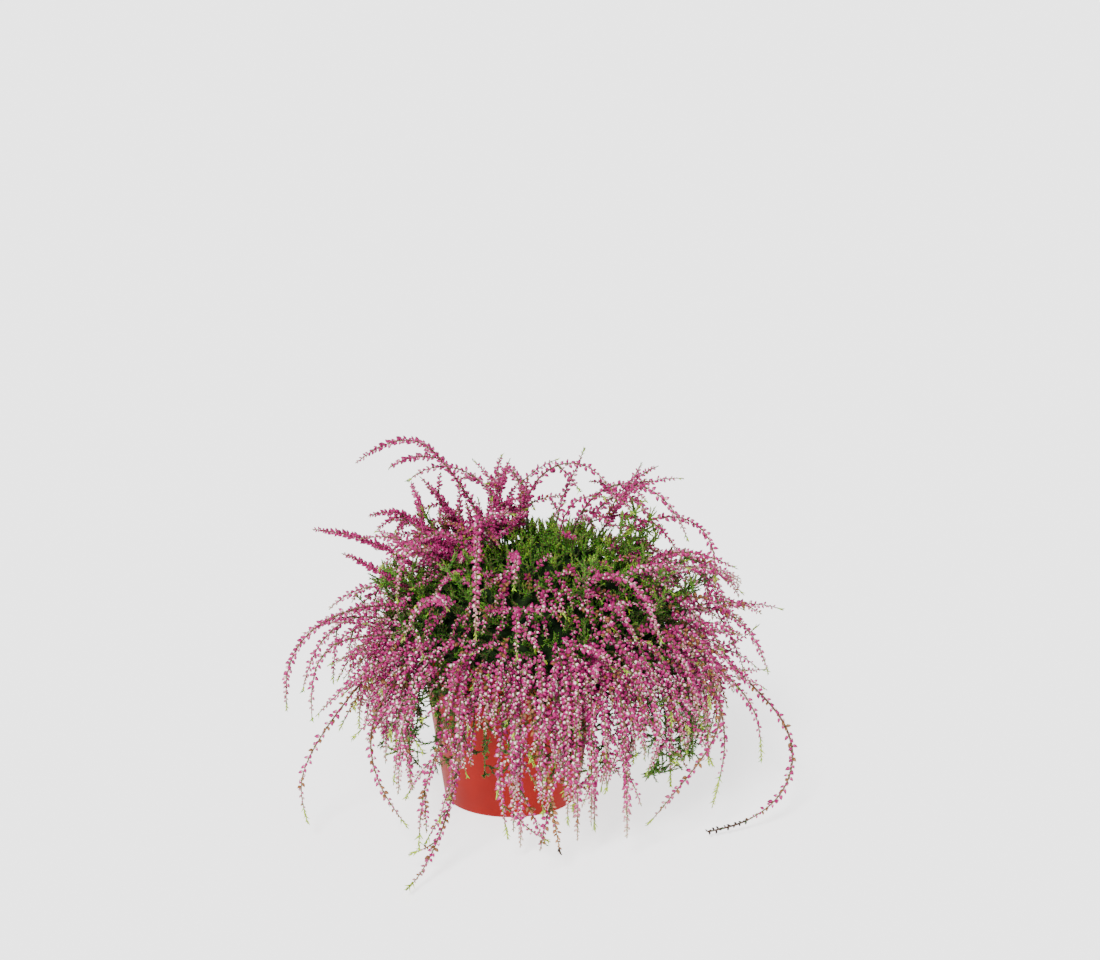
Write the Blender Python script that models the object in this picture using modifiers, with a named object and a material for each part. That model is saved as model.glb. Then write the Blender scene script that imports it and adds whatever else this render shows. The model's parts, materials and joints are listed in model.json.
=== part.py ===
"""Potted heather: a trailing bud heather in a thin plastic pot.

The pot stands on z = 0 with its axis on the origin. Sizes below are in millimetres and the
meshes are made in metres. The bush is one solid: a woody crown in the soil, a dome of foliage,
leafy shoots and shorter racemes that stand out of it, and the stubs that carry the flower
sprays. Each flower spray is a solid of its own that starts at the end face of its stub.
"""

import math
import random

import bmesh
import bpy
import numpy as np

MM = 0.001
GAP = 0.3
SEED = 20
GOLDEN_TURN = math.pi * (3 - math.sqrt(5))

# Pot
POT_HEIGHT = 115.0
POT_TOP_RADIUS = 65.0
POT_FOOT_RADIUS = 47.5
POT_WALL = 1.6
POT_FLOOR = 2.2
POT_FOOT_BEVEL = 1.5
RIM_DEPTH = 13.0
RIM_STEP = 1.9
POT_SIDES = 32
DRAIN_HOLES = 6
DRAIN_RADIUS = 4.5
DRAIN_CIRCLE = 31.0
DRAIN_SIDES = 10

# Soil
SOIL_EDGE_HEIGHT = 98.0
SOIL_MOUND_HEIGHT = 101.5
SOIL_SIDES = 24
CROWN_HOLE_RADIUS = 9.3
CROWN_HOLE_BOTTOM = 72.0

# Bush
CORE_CENTRE = (20.0, -5.0, 105.0)
CORE_RADII = (98.0, 92.0, 84.0)
CORE_FINENESS = 4
CORE_TUFTS_ABOVE = -0.03
CORE_UNDERSIDE = 118.5
CORE_SKIRT = 98.0
SKIRT_WIDTH = 10.0
TUFT_HEIGHT = (6.0, 10.5)
TUFT_LEAN = 2.6
TUFT_LEAN_LIMIT = 1.4
POT_CLEAR_RADIUS = 80.0
CROWN_RADIUS = 8.8
CROWN_FLARE = 26.0
CROWN_TAPER = 1.5
CROWN_ABOVE_SOIL = 2.0
CROWN_INTO_DOME = 6.0
CROWN_SIDES = 10
SHOOT_COUNT = 28
SHOOT_LENGTH = (19.0, 27.0)
SHOOT_RADIUS = 3.3
SHOOT_STEM = 1.4
SHOOT_SUNK = 13.0
SHOOT_TILT = 0.34
SHOOT_UPRIGHT = 0.7
SHOOT_RINGS = (0.28, 0.66)
SHOOT_FORWARD = 2.1
SHOOT_TRIES = 24
SHOOT_HIGHEST = 0.995
STUB_RISE = 6.5
STUB_SUNK = 15.0
STUB_RADIUS = 1.5
STUB_SIDES = 4
GREEN_REACH = 3.8
ROOT_SPACING = 11.5
ROOT_LOWEST = 0.21
SUNK_COVER = 5.0
SHOULDER_DROP = 8.0
SHOULDER_REACH = 6.0

# Flower sprays
BUD_REACH = 4.1
STEM_REACH = 1.35
BUD_FORWARD = 2.0
WHORL_STEP = 14.5
BARE_LENGTH = 8.0
TIP_TAPER = 26.0
TIP_FULLNESS = 0.42
TIP_POINT = 1.6
PATH_STEP = 5.0
CLEAR_SPRAYS = 9.7
CLEAR_SHOOTS = 8.6
CLEAR_CORE = 6.8
CLEAR_POT_RADIUS = 70.5
CLEAR_FLOOR = 4.7
CURVE_SHARES = 12
ROOT_ROUNDS = 60
PUSH_ROUNDS = 90
PUSH_SHARE = 0.45
PUSH_MARGIN = 0.3
SOFTENING = 0.06
FLATTEN_BELOW = 28.0
FLATTENING = 0.72
SIDE_SPRAY_LENGTH = (32.0, 50.0)
SIDE_TRIES = 40
SIDE_LEAVES_AT = (0.30, 0.55)
SIDE_FORWARD = 0.75
SIDE_DROOP = 0.07
SIDE_TO_MAIN = 0.8
SIDE_BARE_LENGTH = 5.0
SIDES_AT_BACK = 2
WHORL = 6

# Sprays that show in front, as points along each, from the foliage to the tip
CHOSEN_SPRAYS = {
    "crown_left_arch": [(-25, 0, 212), (-50, 0, 248), (-65, 0, 260), (-90, -10, 256), (-105, -15, 245)],
    "crown_left_short": [(-40, -10, 208), (-50, -15, 225), (-60, -20, 236)],
    "left_flat": [(-60, -25, 205), (-76, -30, 217), (-95, -38, 214)],
    "left_hook": [(-62, -48, 196), (-82, -56, 206), (-100, -60, 204)],
    "left_level": [(-84, -8, 182), (-110, -15, 195), (-135, -20, 200)],
    "left_stub_upper": [(-84, -35, 170), (-100, -40, 184), (-112, -46, 190)],
    "crown_arch": [(10, 14, 214), (25, 12, 235), (45, 8, 242), (60, 2, 236), (71, -5, 222)],
    "crown_sprig": [(34, 34, 205), (46, 38, 228), (52, 42, 243)],
    "crown_small_arch": [(36, -26, 212), (50, -34, 229), (66, -44, 228)],
    "crown_upright": [(66, 18, 192), (80, 22, 214), (92, 26, 236)],
    "crown_tuft_mid": [(-8, -16, 212), (-6, -20, 228), (-8, -24, 242)],
    "crown_tuft_right": [(8, -4, 208), (12, -8, 222), (12, -10, 234)],
    "right_high_arch": [(82, -2, 196), (105, -6, 206), (126, -14, 205), (140, -22, 189), (140, -30, 164)],
    "right_low_arch": [(94, -44, 184), (114, -54, 195), (135, -60, 192), (152, -62, 184)],
    "centre_front": [(-20, -40, 214), (-20, -84, 213), (-20, -118, 190), (-20, -136, 158)],
    "left_inner_arc": [(-34, -52, 204), (-56, -72, 210), (-70, -92, 198), (-72, -106, 174)],
    "front_high_right": [(4, -72, 198), (6, -98, 200), (4, -120, 186)],
    "front_mid": [(6, -96, 168), (6, -120, 164), (6, -130, 142)],
    "right_diagonal": [(54, -82, 184), (80, -100, 190), (92, -110, 172), (100, -112, 148)],
    "left_cluster": [(-46, -84, 172), (-60, -108, 170), (-68, -116, 150)],
    "left_long_arch": [
        (-88, -50, 156), (-115, -60, 152), (-138, -66, 138), (-150, -68, 114), (-150, -68, 86),
    ],
    "left_drop": [(-100, -72, 140), (-122, -84, 136), (-131, -88, 112), (-131, -88, 86)],
    "left_diagonal": [(-78, -92, 132), (-105, -105, 118), (-126, -112, 98)],
    "left_long_low": [(-104, -64, 100), (-126, -74, 72), (-142, -80, 40), (-136, -86, 12)],
    "left_inner_low": [(-80, -90, 108), (-92, -102, 84), (-86, -110, 50), (-66, -118, 22)],
    "left_front_drop": [(-58, -104, 118), (-70, -120, 90), (-75, -122, 54)],
    "front_left_drop": [(-42, -112, 88), (-56, -130, 48), (-58, -138, 15)],
    "front_table_touch": [
        (-28, -112, 92), (-34, -132, 58), (-44, -146, 28), (-56, -162, 8), (-64, -180, 6),
    ],
    "front_short": [(-6, -112, 70), (-4, -126, 44), (0, -132, 20)],
    "front_rusty": [(16, -116, 96), (26, -130, 58), (34, -142, 15)],
    "front_right_drop": [(40, -116, 152), (46, -131, 124), (46, -136, 92)],
    "front_right_low": [(56, -108, 118), (66, -124, 84), (60, -130, 52)],
    "right_front_fall": [(72, -106, 148), (90, -118, 122), (100, -124, 90), (90, -120, 60)],
    "right_fall": [(96, -80, 136), (111, -92, 106), (116, -96, 70)],
    "right_fall_outer": [(118, -48, 130), (131, -58, 102), (135, -62, 65)],
    "right_green_drop": [(134, -62, 112), (146, -72, 66), (137, -78, 20)],
    "right_long_diagonal": [(140, -84, 106), (138, -90, 76), (120, -98, 52), (92, -112, 22)],
    "right_sickle": [
        (158, -14, 96), (188, -32, 68), (196, -44, 44), (186, -60, 22), (162, -72, 8), (134, -84, 5.5),
    ],
    "right_small_drop": [(160, -48, 92), (170, -60, 72), (171, -64, 48)],
    "right_tip_up": [(138, -10, 112), (158, -15, 117), (171, -20, 131)],
    "right_tip_level": [(142, -28, 104), (160, -35, 103), (177, -40, 106)],
    "right_shoulder": [(122, 2, 142), (145, -5, 150), (162, -10, 141)],
    "front_pot_left": [(-28, -110, 126), (-32, -130, 96), (-27, -134, 64)],
    "front_pot_mid": [(22, -118, 140), (22, -135, 106), (14, -140, 76)],
    "front_pot_right": [(70, -98, 132), (80, -110, 108), (84, -114, 70)],
    "left_side_level": [(-84, -62, 128), (-102, -74, 130), (-122, -80, 122)],
}
SPRAYS_WITH_SIDES = (
    "crown_left_arch",
    "left_flat",
    "crown_arch",
    "right_high_arch",
    "centre_front",
    "left_inner_arc",
    "front_mid",
    "right_diagonal",
    "left_cluster",
    "left_front_drop",
    "front_right_drop",
    "right_front_fall",
    "front_pot_left",
    "front_pot_mid",
    "front_pot_right",
    "right_fall",
)

# Sprays round the back, as turn from the front, start height, lift, droop and length
BACK_SPRAYS = 11
BACK_TURNS = (80.0, 285.0)
BACK_HEIGHTS = (185.0, 118.0, 150.0)
BACK_LENGTHS = (112.0, 96.0, 108.0)
BACK_LIFTS = (-0.6, 1.0, 0.5)
BACK_TALLEST = 242.0
BACK_TRIES = 60
BACK_TURN_WANDER = 9.0
BACK_HEIGHT_WANDER = 8.0
BACK_LIFT_SHARES = (0.25, 0.7)
BACK_LENGTH_SHARES = (0.85, 1.15)
BACK_DROOPS = (0.11, 0.16)

# Shorter racemes of the bush itself, which grow between the sprays wherever there is room
FILLS = 25
FILL_TRIES = 400
FILL_RISES = (0.22, 0.66)
FILL_LIFTS = (-0.3, 0.5)
FILL_DROOPS = (0.10, 0.20)
FILL_LENGTHS = (52.0, 84.0)
FILL_BARE_LENGTH = 24.0

# Green leafy stems that hang below the dome, as points along each
GREEN_STEMS = [
    [(104, -52, 112), (122, -62, 84), (124, -66, 56)],
    [(84, -84, 108), (98, -96, 82), (100, -100, 54)],
    [(112, -20, 112), (128, -26, 86), (130, -30, 60)],
    [(40, -100, 108), (42, -112, 84), (40, -114, 60)],
    [(-58, -80, 108), (-66, -92, 86), (-66, -96, 64)],
    [(-78, -20, 112), (-90, -24, 88), (-92, -26, 66)],
    [(60, 80, 108), (66, 94, 84), (66, 96, 60)],
    [(-30, 78, 108), (-36, 90, 86), (-36, 94, 64)],
]


def make_collection(name):
    collection = bpy.data.collections.new(name)
    bpy.context.scene.collection.children.link(collection)
    return collection


def principled(name, colour, roughness, metallic=0.0):
    material = bpy.data.materials.new(name)
    material.use_nodes = True
    shader = material.node_tree.nodes["Principled BSDF"]
    shader.inputs["Base Color"].default_value = (*colour, 1.0)
    shader.inputs["Roughness"].default_value = roughness
    shader.inputs["Metallic"].default_value = metallic
    return material


def mesh_object(name, bm, material, collection):
    """A new object from a bmesh, which is freed."""
    bmesh.ops.recalc_face_normals(bm, faces=bm.faces)
    mesh = bpy.data.meshes.new(name)
    bm.to_mesh(mesh)
    bm.free()
    mesh.materials.append(material)
    piece = bpy.data.objects.new(name, mesh)
    collection.objects.link(piece)
    return piece


def turned(name, profile, sides, material, collection):
    """A turned solid from (radius, height) points that run down its outer side."""
    mesh = bpy.data.meshes.new(name)
    points = [(radius * MM, 0.0, height * MM) for radius, height in profile]
    mesh.from_pydata(points, [(i, i + 1) for i in range(len(points) - 1)], [])
    mesh.materials.append(material)
    piece = bpy.data.objects.new(name, mesh)
    collection.objects.link(piece)
    screw = piece.modifiers.new("Turn", "SCREW")
    screw.steps = sides
    screw.render_steps = sides
    screw.use_merge_vertices = True
    screw.merge_threshold = 0.0001
    screw.use_smooth_shade = True
    return piece


def make_pot(material, collection, cutters):
    """A tapered pot with a rim band, a flat floor and a ring of drain holes."""
    rim_bottom = POT_HEIGHT - RIM_DEPTH
    under_rim = POT_TOP_RADIUS - RIM_STEP - 1.0
    profile = [
        (0.0, POT_FLOOR),
        (POT_FOOT_RADIUS - POT_WALL, POT_FLOOR),
        (under_rim - POT_WALL, rim_bottom - 1.0),
        (POT_TOP_RADIUS - POT_WALL - 1.0, rim_bottom + 2.0),
        (POT_TOP_RADIUS - POT_WALL, POT_HEIGHT),
        (POT_TOP_RADIUS, POT_HEIGHT),
        (POT_TOP_RADIUS - 1.0, rim_bottom),
        (under_rim, rim_bottom - 1.0),
        (POT_FOOT_RADIUS, POT_FOOT_BEVEL),
        (POT_FOOT_RADIUS - POT_FOOT_BEVEL, 0.0),
        (0.0, 0.0),
    ]
    pot = turned("pot", profile, POT_SIDES, material, collection)
    for index in range(DRAIN_HOLES):
        turn = math.tau * index / DRAIN_HOLES
        bpy.ops.mesh.primitive_cylinder_add(
            vertices=DRAIN_SIDES,
            radius=DRAIN_RADIUS * MM,
            depth=4 * POT_FLOOR * MM,
            location=(DRAIN_CIRCLE * MM * math.cos(turn), DRAIN_CIRCLE * MM * math.sin(turn), 0.0),
        )
        hole = bpy.context.object
        hole.name = f"drain_cutter_{index + 1}"
        hole.hide_render = True
        hole.display_type = "WIRE"
        for other in hole.users_collection:
            other.objects.unlink(hole)
        cutters.objects.link(hole)
        cut = pot.modifiers.new(f"Drain {index + 1}", "BOOLEAN")
        cut.operation = "DIFFERENCE"
        cut.object = hole
    return pot


def pot_inside_radius(height):
    """Radius of the pot's inner wall below its rim band."""
    share = (height - POT_FLOOR) / (POT_HEIGHT - RIM_DEPTH - 1.0 - POT_FLOOR)
    top = POT_TOP_RADIUS - RIM_STEP - 1.0 - POT_WALL
    foot = POT_FOOT_RADIUS - POT_WALL
    return foot + (top - foot) * share


def make_soil(material, collection):
    bottom = POT_FLOOR + GAP
    profile = [
        (0.0, CROWN_HOLE_BOTTOM),
        (CROWN_HOLE_RADIUS, CROWN_HOLE_BOTTOM),
        (CROWN_HOLE_RADIUS, SOIL_MOUND_HEIGHT),
        (0.55 * POT_TOP_RADIUS, SOIL_MOUND_HEIGHT - 0.6),
        (pot_inside_radius(SOIL_EDGE_HEIGHT) - GAP, SOIL_EDGE_HEIGHT),
        (pot_inside_radius(bottom) - GAP, bottom),
        (0.0, bottom),
    ]
    return turned("soil", profile, SOIL_SIDES, material, collection)


def smooth_curve(chosen, step):
    """Points every step millimetres along a smooth curve through the chosen points."""
    points = np.array(chosen, float)
    ends = [2 * points[0] - points[1], *points, 2 * points[-1] - points[-2]]
    dense = []
    for before, start, end, after in zip(ends[:-3], ends[1:-2], ends[2:-1], ends[3:]):
        for share in np.linspace(0.0, 1.0, CURVE_SHARES, endpoint=False):
            bend = 3 * (start - end) + after - before
            ease = 2 * before - 5 * start + 4 * end - after
            dense.append(
                start + 0.5 * share * ((end - before) + share * (ease + share * bend))
            )
    dense.append(points[-1])
    return even_points(np.array(dense), step)


def path_lengths(points):
    return np.concatenate([[0.0], np.cumsum(np.linalg.norm(np.diff(points, axis=0), axis=1))])


def points_at(points, distances):
    along = path_lengths(points)
    return np.stack([np.interp(distances, along, points[:, axis]) for axis in range(3)], axis=1)


def even_points(points, step):
    total = path_lengths(points)[-1]
    return points_at(points, np.linspace(0.0, total, max(3, round(total / step) + 1)))


def core_depth(points):
    """How far points lie outside the dome's ellipsoid, negative inside it."""
    offset = (points - np.array(CORE_CENTRE)) / np.array(CORE_RADII)
    scale = np.linalg.norm(offset, axis=-1)
    return (scale - 1.0) * np.mean(CORE_RADII)


def core_surface(toward):
    """The dome's surface point in a direction, kept above its lower edge."""
    centre = np.array(CORE_CENTRE)
    radii = np.array(CORE_RADII)
    direction = (np.asarray(toward, float) - centre) / radii
    direction[2] = max(direction[2], ROOT_LOWEST * np.linalg.norm(direction[:2]))
    return centre + radii * direction / np.linalg.norm(direction)


def outward(point):
    """The dome's outward direction at a point near its surface."""
    normal = (np.asarray(point, float) - np.array(CORE_CENTRE)) / np.array(CORE_RADII) ** 2
    return normal / np.linalg.norm(normal)


def spread_roots(roots):
    """Roots moved over the dome until each stub has room."""
    roots = np.array(roots)
    for _ in range(ROOT_ROUNDS):
        between = roots[:, None, :] - roots[None, :, :]
        distance = np.linalg.norm(between, axis=2)
        np.fill_diagonal(distance, 1e9)
        lack = np.maximum(ROOT_SPACING - distance, 0.0)
        shift = ((0.5 * lack / (distance + 1e-6))[:, :, None] * between).sum(axis=1)
        roots = np.array([core_surface(root) for root in np.round(roots + shift, 6)])
    return roots


def rooted(root, chosen):
    """A path that starts on the dome's surface, leaves it squarely and follows the points."""
    leave = root + STUB_RISE * outward(root)
    start = [root, leave]
    if chosen[0][2] < root[2] - SHOULDER_DROP:
        start.append(root + (STUB_RISE + SHOULDER_REACH) * outward(root))
    keep = [point for point in chosen if np.linalg.norm(np.subtract(point, start[-1])) > STUB_RISE]
    return smooth_curve([*start, *keep], PATH_STEP)


def keep_clear(points):
    """Points moved out of the dome, the pot and the floor."""
    depth = core_depth(points)
    low = depth < CLEAR_CORE
    low[:2] = False
    for index in np.nonzero(low)[0]:
        points[index] += (CLEAR_CORE - depth[index]) * outward(points[index])
    radius = np.linalg.norm(points[:, :2], axis=1)
    near = (radius < CLEAR_POT_RADIUS) & (points[:, 2] < POT_HEIGHT + BUD_REACH + 1.0)
    near[:2] = False
    points[near, :2] *= (CLEAR_POT_RADIUS / radius[near])[:, None]
    points[2:, 2] = np.maximum(points[2:, 2], CLEAR_FLOOR)
    return points


def push_apart(paths):
    """Moves the paths sideways until no two come closer than their buds need."""
    owner = np.concatenate([np.full(len(path), index) for index, path in enumerate(paths)])
    fixed = np.concatenate([np.arange(len(path)) < 2 for path in paths])
    apart = owner[:, None] != owner[None, :]
    for _ in range(PUSH_ROUNDS):
        points = np.concatenate(paths)
        between = points[:, None, :] - points[None, :, :]
        distance = np.linalg.norm(between, axis=2) + 1e-6
        lack = np.where(apart, np.maximum(CLEAR_SPRAYS + PUSH_MARGIN - distance, 0.0), 0.0)
        shift = ((PUSH_SHARE * lack / distance)[:, :, None] * between).sum(axis=1)
        shift /= np.maximum(1.0, (lack > 0).sum(axis=1))[:, None]
        shift[fixed] = 0.0
        start = 0
        for index, path in enumerate(paths):
            move = shift[start : start + len(path)].copy()
            start += len(path)
            move[1:-1] = (move[:-2] + 2 * move[1:-1] + move[2:]) / 4
            move[:2] = 0.0
            moved = path + move
            softened = moved.copy()
            beside = 0.5 * (moved[1:-2] + moved[3:])
            softened[2:-1] = (1 - SOFTENING) * moved[2:-1] + SOFTENING * beside
            paths[index] = np.round(keep_clear(softened), 6)
    return paths


def nearest(points, others):
    if len(others) == 0:
        return 1e9
    return np.linalg.norm(points[:, None, :] - others[None, :, :], axis=2).min()


def grown_path(start, heading, length, droop):
    """A stem that grows along its heading and sinks under its own weight."""
    direction = np.array(heading, float)
    direction /= np.linalg.norm(direction)
    points = [np.array(start, float)]
    while PATH_STEP * (len(points) - 1) < length:
        direction[2] -= droop
        if points[-1][2] < FLATTEN_BELOW and direction[2] < 0:
            direction[2] *= FLATTENING
        direction /= np.linalg.norm(direction)
        points.append(points[-1] + PATH_STEP * direction)
    return np.array(points)


def back_paths(draw, taken):
    """Sprays round the sides and back, each tried until it is clear of the others."""
    found = []
    for index in range(BACK_SPRAYS):
        share = (index + 0.5) / BACK_SPRAYS
        best = None
        for attempt in range(BACK_TRIES):
            turn = BACK_TURNS[0] + (BACK_TURNS[1] - BACK_TURNS[0]) * share
            turn += draw.uniform(-BACK_TURN_WANDER, BACK_TURN_WANDER)
            angle = math.radians(turn - 90.0)
            height = BACK_HEIGHTS[index % 3] + draw.uniform(-BACK_HEIGHT_WANDER, BACK_HEIGHT_WANDER)
            across = math.sqrt(max(0.05, 1 - ((height - CORE_CENTRE[2]) / CORE_RADII[2]) ** 2))
            root = core_surface(
                (
                    CORE_CENTRE[0] + CORE_RADII[0] * across * math.cos(angle),
                    CORE_CENTRE[1] + CORE_RADII[1] * across * math.sin(angle),
                    height,
                )
            )
            lift = draw.uniform(*BACK_LIFT_SHARES) * BACK_LIFTS[index % 3]
            heading = outward(root) + np.array([0.0, 0.0, lift])
            length = BACK_LENGTHS[index % 3] * draw.uniform(*BACK_LENGTH_SHARES)
            path = grown_path(root, outward(root), PATH_STEP, 0.0)
            rest = grown_path(path[-1], heading, length, draw.uniform(*BACK_DROOPS))
            path = keep_clear(np.concatenate([path, rest[1:]]))
            if path[:, 2].max() > BACK_TALLEST:
                continue
            room = nearest(path[1:], np.concatenate(taken + found))
            if best is None or room > best[0]:
                best = (room, path)
            if room > CLEAR_SPRAYS:
                break
        if best is not None and best[0] > CLEAR_SPRAYS:
            found.append(np.round(best[1], 6))
    return found


def side_path(draw, main, others):
    """A shorter raceme that leaves a spray part way along, or None where there is no room."""
    total = path_lengths(main)[-1]
    for attempt in range(SIDE_TRIES):
        leave = total * draw.uniform(*SIDE_LEAVES_AT)
        start, ahead = points_at(main, [leave, leave + 2.0])
        along = (ahead - start) / np.linalg.norm(ahead - start)
        around = np.array([draw.uniform(-1, 1), draw.uniform(-1, 1), draw.uniform(-0.4, 1)])
        across = around - along * around.dot(along)
        across /= np.linalg.norm(across)
        length = draw.uniform(*SIDE_SPRAY_LENGTH)
        path = grown_path(start, SIDE_FORWARD * along + across, length, SIDE_DROOP)
        path[3:] = keep_clear(np.concatenate([path[:2], path[3:]]))[2:]
        far = path[3:]
        if far[:, 2].max() > max(BACK_TALLEST, main[:, 2].max()):
            continue
        if nearest(far, others) > CLEAR_SPRAYS and nearest(far, main) > SIDE_TO_MAIN * CLEAR_SPRAYS:
            return np.round(path, 6)
    return None


def fill_paths(draw, taken):
    """Shorter racemes that grow from the dome between the sprays."""
    found = []
    taken = np.concatenate(taken)
    for index in range(FILL_TRIES):
        angle = GOLDEN_TURN * index
        rise = draw.uniform(*FILL_RISES)
        across = math.sqrt(1 - rise * rise)
        unit = np.array([across * math.cos(angle), across * math.sin(angle), rise])
        root = np.array(CORE_CENTRE) + np.array(CORE_RADII) * unit
        foot = grown_path(root, outward(root), PATH_STEP, 0.0)
        heading = outward(root) + np.array([0.0, 0.0, draw.uniform(*FILL_LIFTS)])
        rest = grown_path(foot[-1], heading, draw.uniform(*FILL_LENGTHS), draw.uniform(*FILL_DROOPS))
        path = keep_clear(np.concatenate([foot, rest[1:]]))
        if path[:, 2].max() < BACK_TALLEST and nearest(path, taken) > CLEAR_SPRAYS:
            found.append(np.round(path, 6))
            taken = np.concatenate([taken, path])
        if len(found) == FILLS:
            break
    return found


def seam_direction(path):
    """The direction in which a path crosses the end face of its stub."""
    before, after = points_at(path, [STUB_RISE, STUB_RISE + GAP])
    return (after - before) / np.linalg.norm(after - before)


def carried_frames(points, start_direction=None):
    """A forward, a side and an upper direction at each point, carried along without twist."""
    forward = np.gradient(points, axis=0)
    forward /= np.linalg.norm(forward, axis=1)[:, None]
    if start_direction is not None:
        forward[0] = start_direction
    side = np.cross(forward[0], (0.0, 0.0, 1.0))
    if np.linalg.norm(side) < 0.2:
        side = np.cross(forward[0], (1.0, 0.0, 0.0))
    sides = []
    for direction in forward:
        side = side - direction * side.dot(direction)
        side = side / np.linalg.norm(side)
        sides.append(side)
    sides = np.array(sides)
    return forward, sides, np.cross(forward, sides)


def whorled_loft(centres, inner, outer, push, start_direction=None):
    """A closed stem whose rings of six have every other corner drawn out into a bud or leaf.

    The drawn-out corners take turns from ring to ring, so each becomes the point of a
    four-sided pyramid. It returns a bmesh in metres.
    """
    forward, side, upper = carried_frames(centres, start_direction)
    bm = bmesh.new()
    rings = []
    for row, centre in enumerate(centres):
        ring = []
        for corner in range(WHORL):
            angle = math.tau * corner / WHORL
            out = math.cos(angle) * side[row] + math.sin(angle) * upper[row]
            drawn = (corner + row) % 2 == 0
            reach = outer[row] if drawn else inner[row]
            ahead = push[row] if drawn else 0.0
            ring.append(bm.verts.new((centre + reach * out + ahead * forward[row]) * MM))
        rings.append(ring)
    for row, (first, second) in enumerate(zip(rings, rings[1:])):
        for corner in range(WHORL):
            after = (corner + 1) % WHORL
            a, b, c, d = first[corner], first[after], second[after], second[corner]
            if (corner + row) % 2 == 0:
                bm.faces.new((a, b, d))
                bm.faces.new((b, c, d))
            else:
                bm.faces.new((a, b, c))
                bm.faces.new((a, c, d))
    bm.faces.new(rings[0])
    tip = bm.verts.new((centres[-1] + TIP_POINT * outer[-1] * forward[-1]) * MM)
    for corner in range(WHORL):
        bm.faces.new((rings[-1][corner], rings[-1][(corner + 1) % WHORL], tip))
    return bm


def raceme(path, start, bare, start_direction=None):
    """A flowering stem: a bare foot with a flat end face, then whorls of buds up to its tip."""
    total = path_lengths(path)[-1]
    count = max(3, round((total - start - bare) / WHORL_STEP))
    along = np.concatenate([[start], start + bare + np.linspace(0, total - start - bare, count)])
    centres = points_at(path, along)
    left = total - along
    fullness = np.clip(TIP_FULLNESS + (1 - TIP_FULLNESS) * left / TIP_TAPER, 0.0, 1.0)
    outer = BUD_REACH * fullness
    outer[0] = STEM_REACH
    inner = STEM_REACH * (0.55 + 0.45 * fullness)
    push = BUD_FORWARD * fullness
    push[0] = 0.0
    inner[0] = STEM_REACH
    return whorled_loft(centres, inner, outer, push, start_direction)


def join(piece, others):
    """One Boolean union of a piece with others, which are removed with their collection."""
    bpy.context.view_layer.update()
    group = bpy.data.collections.new("joining")
    bpy.context.scene.collection.children.link(group)
    for other in others:
        for owner in other.users_collection:
            owner.objects.unlink(other)
        group.objects.link(other)
    union = piece.modifiers.new("Join", "BOOLEAN")
    union.operation = "UNION"
    union.operand_type = "COLLECTION"
    union.collection = group
    union.solver = "MANIFOLD"
    bpy.context.view_layer.update()
    graph = bpy.context.evaluated_depsgraph_get()
    joined = bpy.data.meshes.new_from_object(piece.evaluated_get(graph))
    piece.modifiers.clear()
    old = piece.data
    piece.data = joined
    bpy.data.meshes.remove(old)
    for other in others:
        bpy.data.objects.remove(other)
    bpy.data.collections.remove(group)
    return piece


def largest_body(piece):
    """Drops any loose scrap or sealed hollow that a union left."""
    bm = bmesh.new()
    bm.from_mesh(piece.data)
    seen = set()
    groups = []
    for face in bm.faces:
        if face in seen:
            continue
        stack = [face]
        seen.add(face)
        group = []
        while stack:
            current = stack.pop()
            group.append(current)
            around = {near for edge in current.edges for near in edge.link_faces}
            stack.extend(around - seen)
            seen |= around
        groups.append(group)
    groups.sort(key=len, reverse=True)
    for group in groups[1:]:
        bmesh.ops.delete(bm, geom=group, context="FACES")
    bm.to_mesh(piece.data)
    bm.free()


def make_core(draw, material, collection):
    """The dome: tufts of foliage drawn out of every upper face, hollowed below round the pot."""
    bm = bmesh.new()
    bmesh.ops.create_icosphere(bm, subdivisions=CORE_FINENESS, radius=1.0)
    upper = [face for face in bm.faces if face.calc_center_median().z > CORE_TUFTS_ABOVE]
    tips = bmesh.ops.poke(bm, faces=upper)["verts"]
    centre = np.array(CORE_CENTRE)
    radii = np.array(CORE_RADII)
    for vert in bm.verts:
        unit = np.array(vert.co) / vert.co.length
        point = centre + (radii - TUFT_HEIGHT[1]) * unit
        drop = min(1.0, max(0.0, (math.hypot(point[0], point[1]) - POT_CLEAR_RADIUS) / SKIRT_WIDTH))
        lowest = CORE_UNDERSIDE + (CORE_SKIRT - CORE_UNDERSIDE) * drop
        if unit[2] < CORE_TUFTS_ABOVE:
            point[2] = lowest
        point[2] = max(point[2], lowest)
        vert.co = point * MM
    for vert in tips:
        point = np.array(vert.co) / MM
        away = outward(point)
        lean = np.array([draw.gauss(0, 1), draw.gauss(0, 1), draw.gauss(0, 1)])
        lean -= away * lean.dot(away)
        rise = draw.uniform(*TUFT_HEIGHT)
        point = point + rise * away + TUFT_LEAN * np.clip(lean, -TUFT_LEAN_LIMIT, TUFT_LEAN_LIMIT)
        if math.hypot(point[0], point[1]) < POT_CLEAR_RADIUS:
            point[2] = max(point[2], CORE_UNDERSIDE)
        vert.co = point * MM
    level = {vert for vert in bm.verts if vert.co.z == np.float32(CORE_UNDERSIDE * MM)}
    flat = [face for face in bm.faces if level.issuperset(face.verts)]
    bmesh.ops.dissolve_faces(bm, faces=flat, use_verts=True)
    return mesh_object("bush", bm, material, collection)


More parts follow.
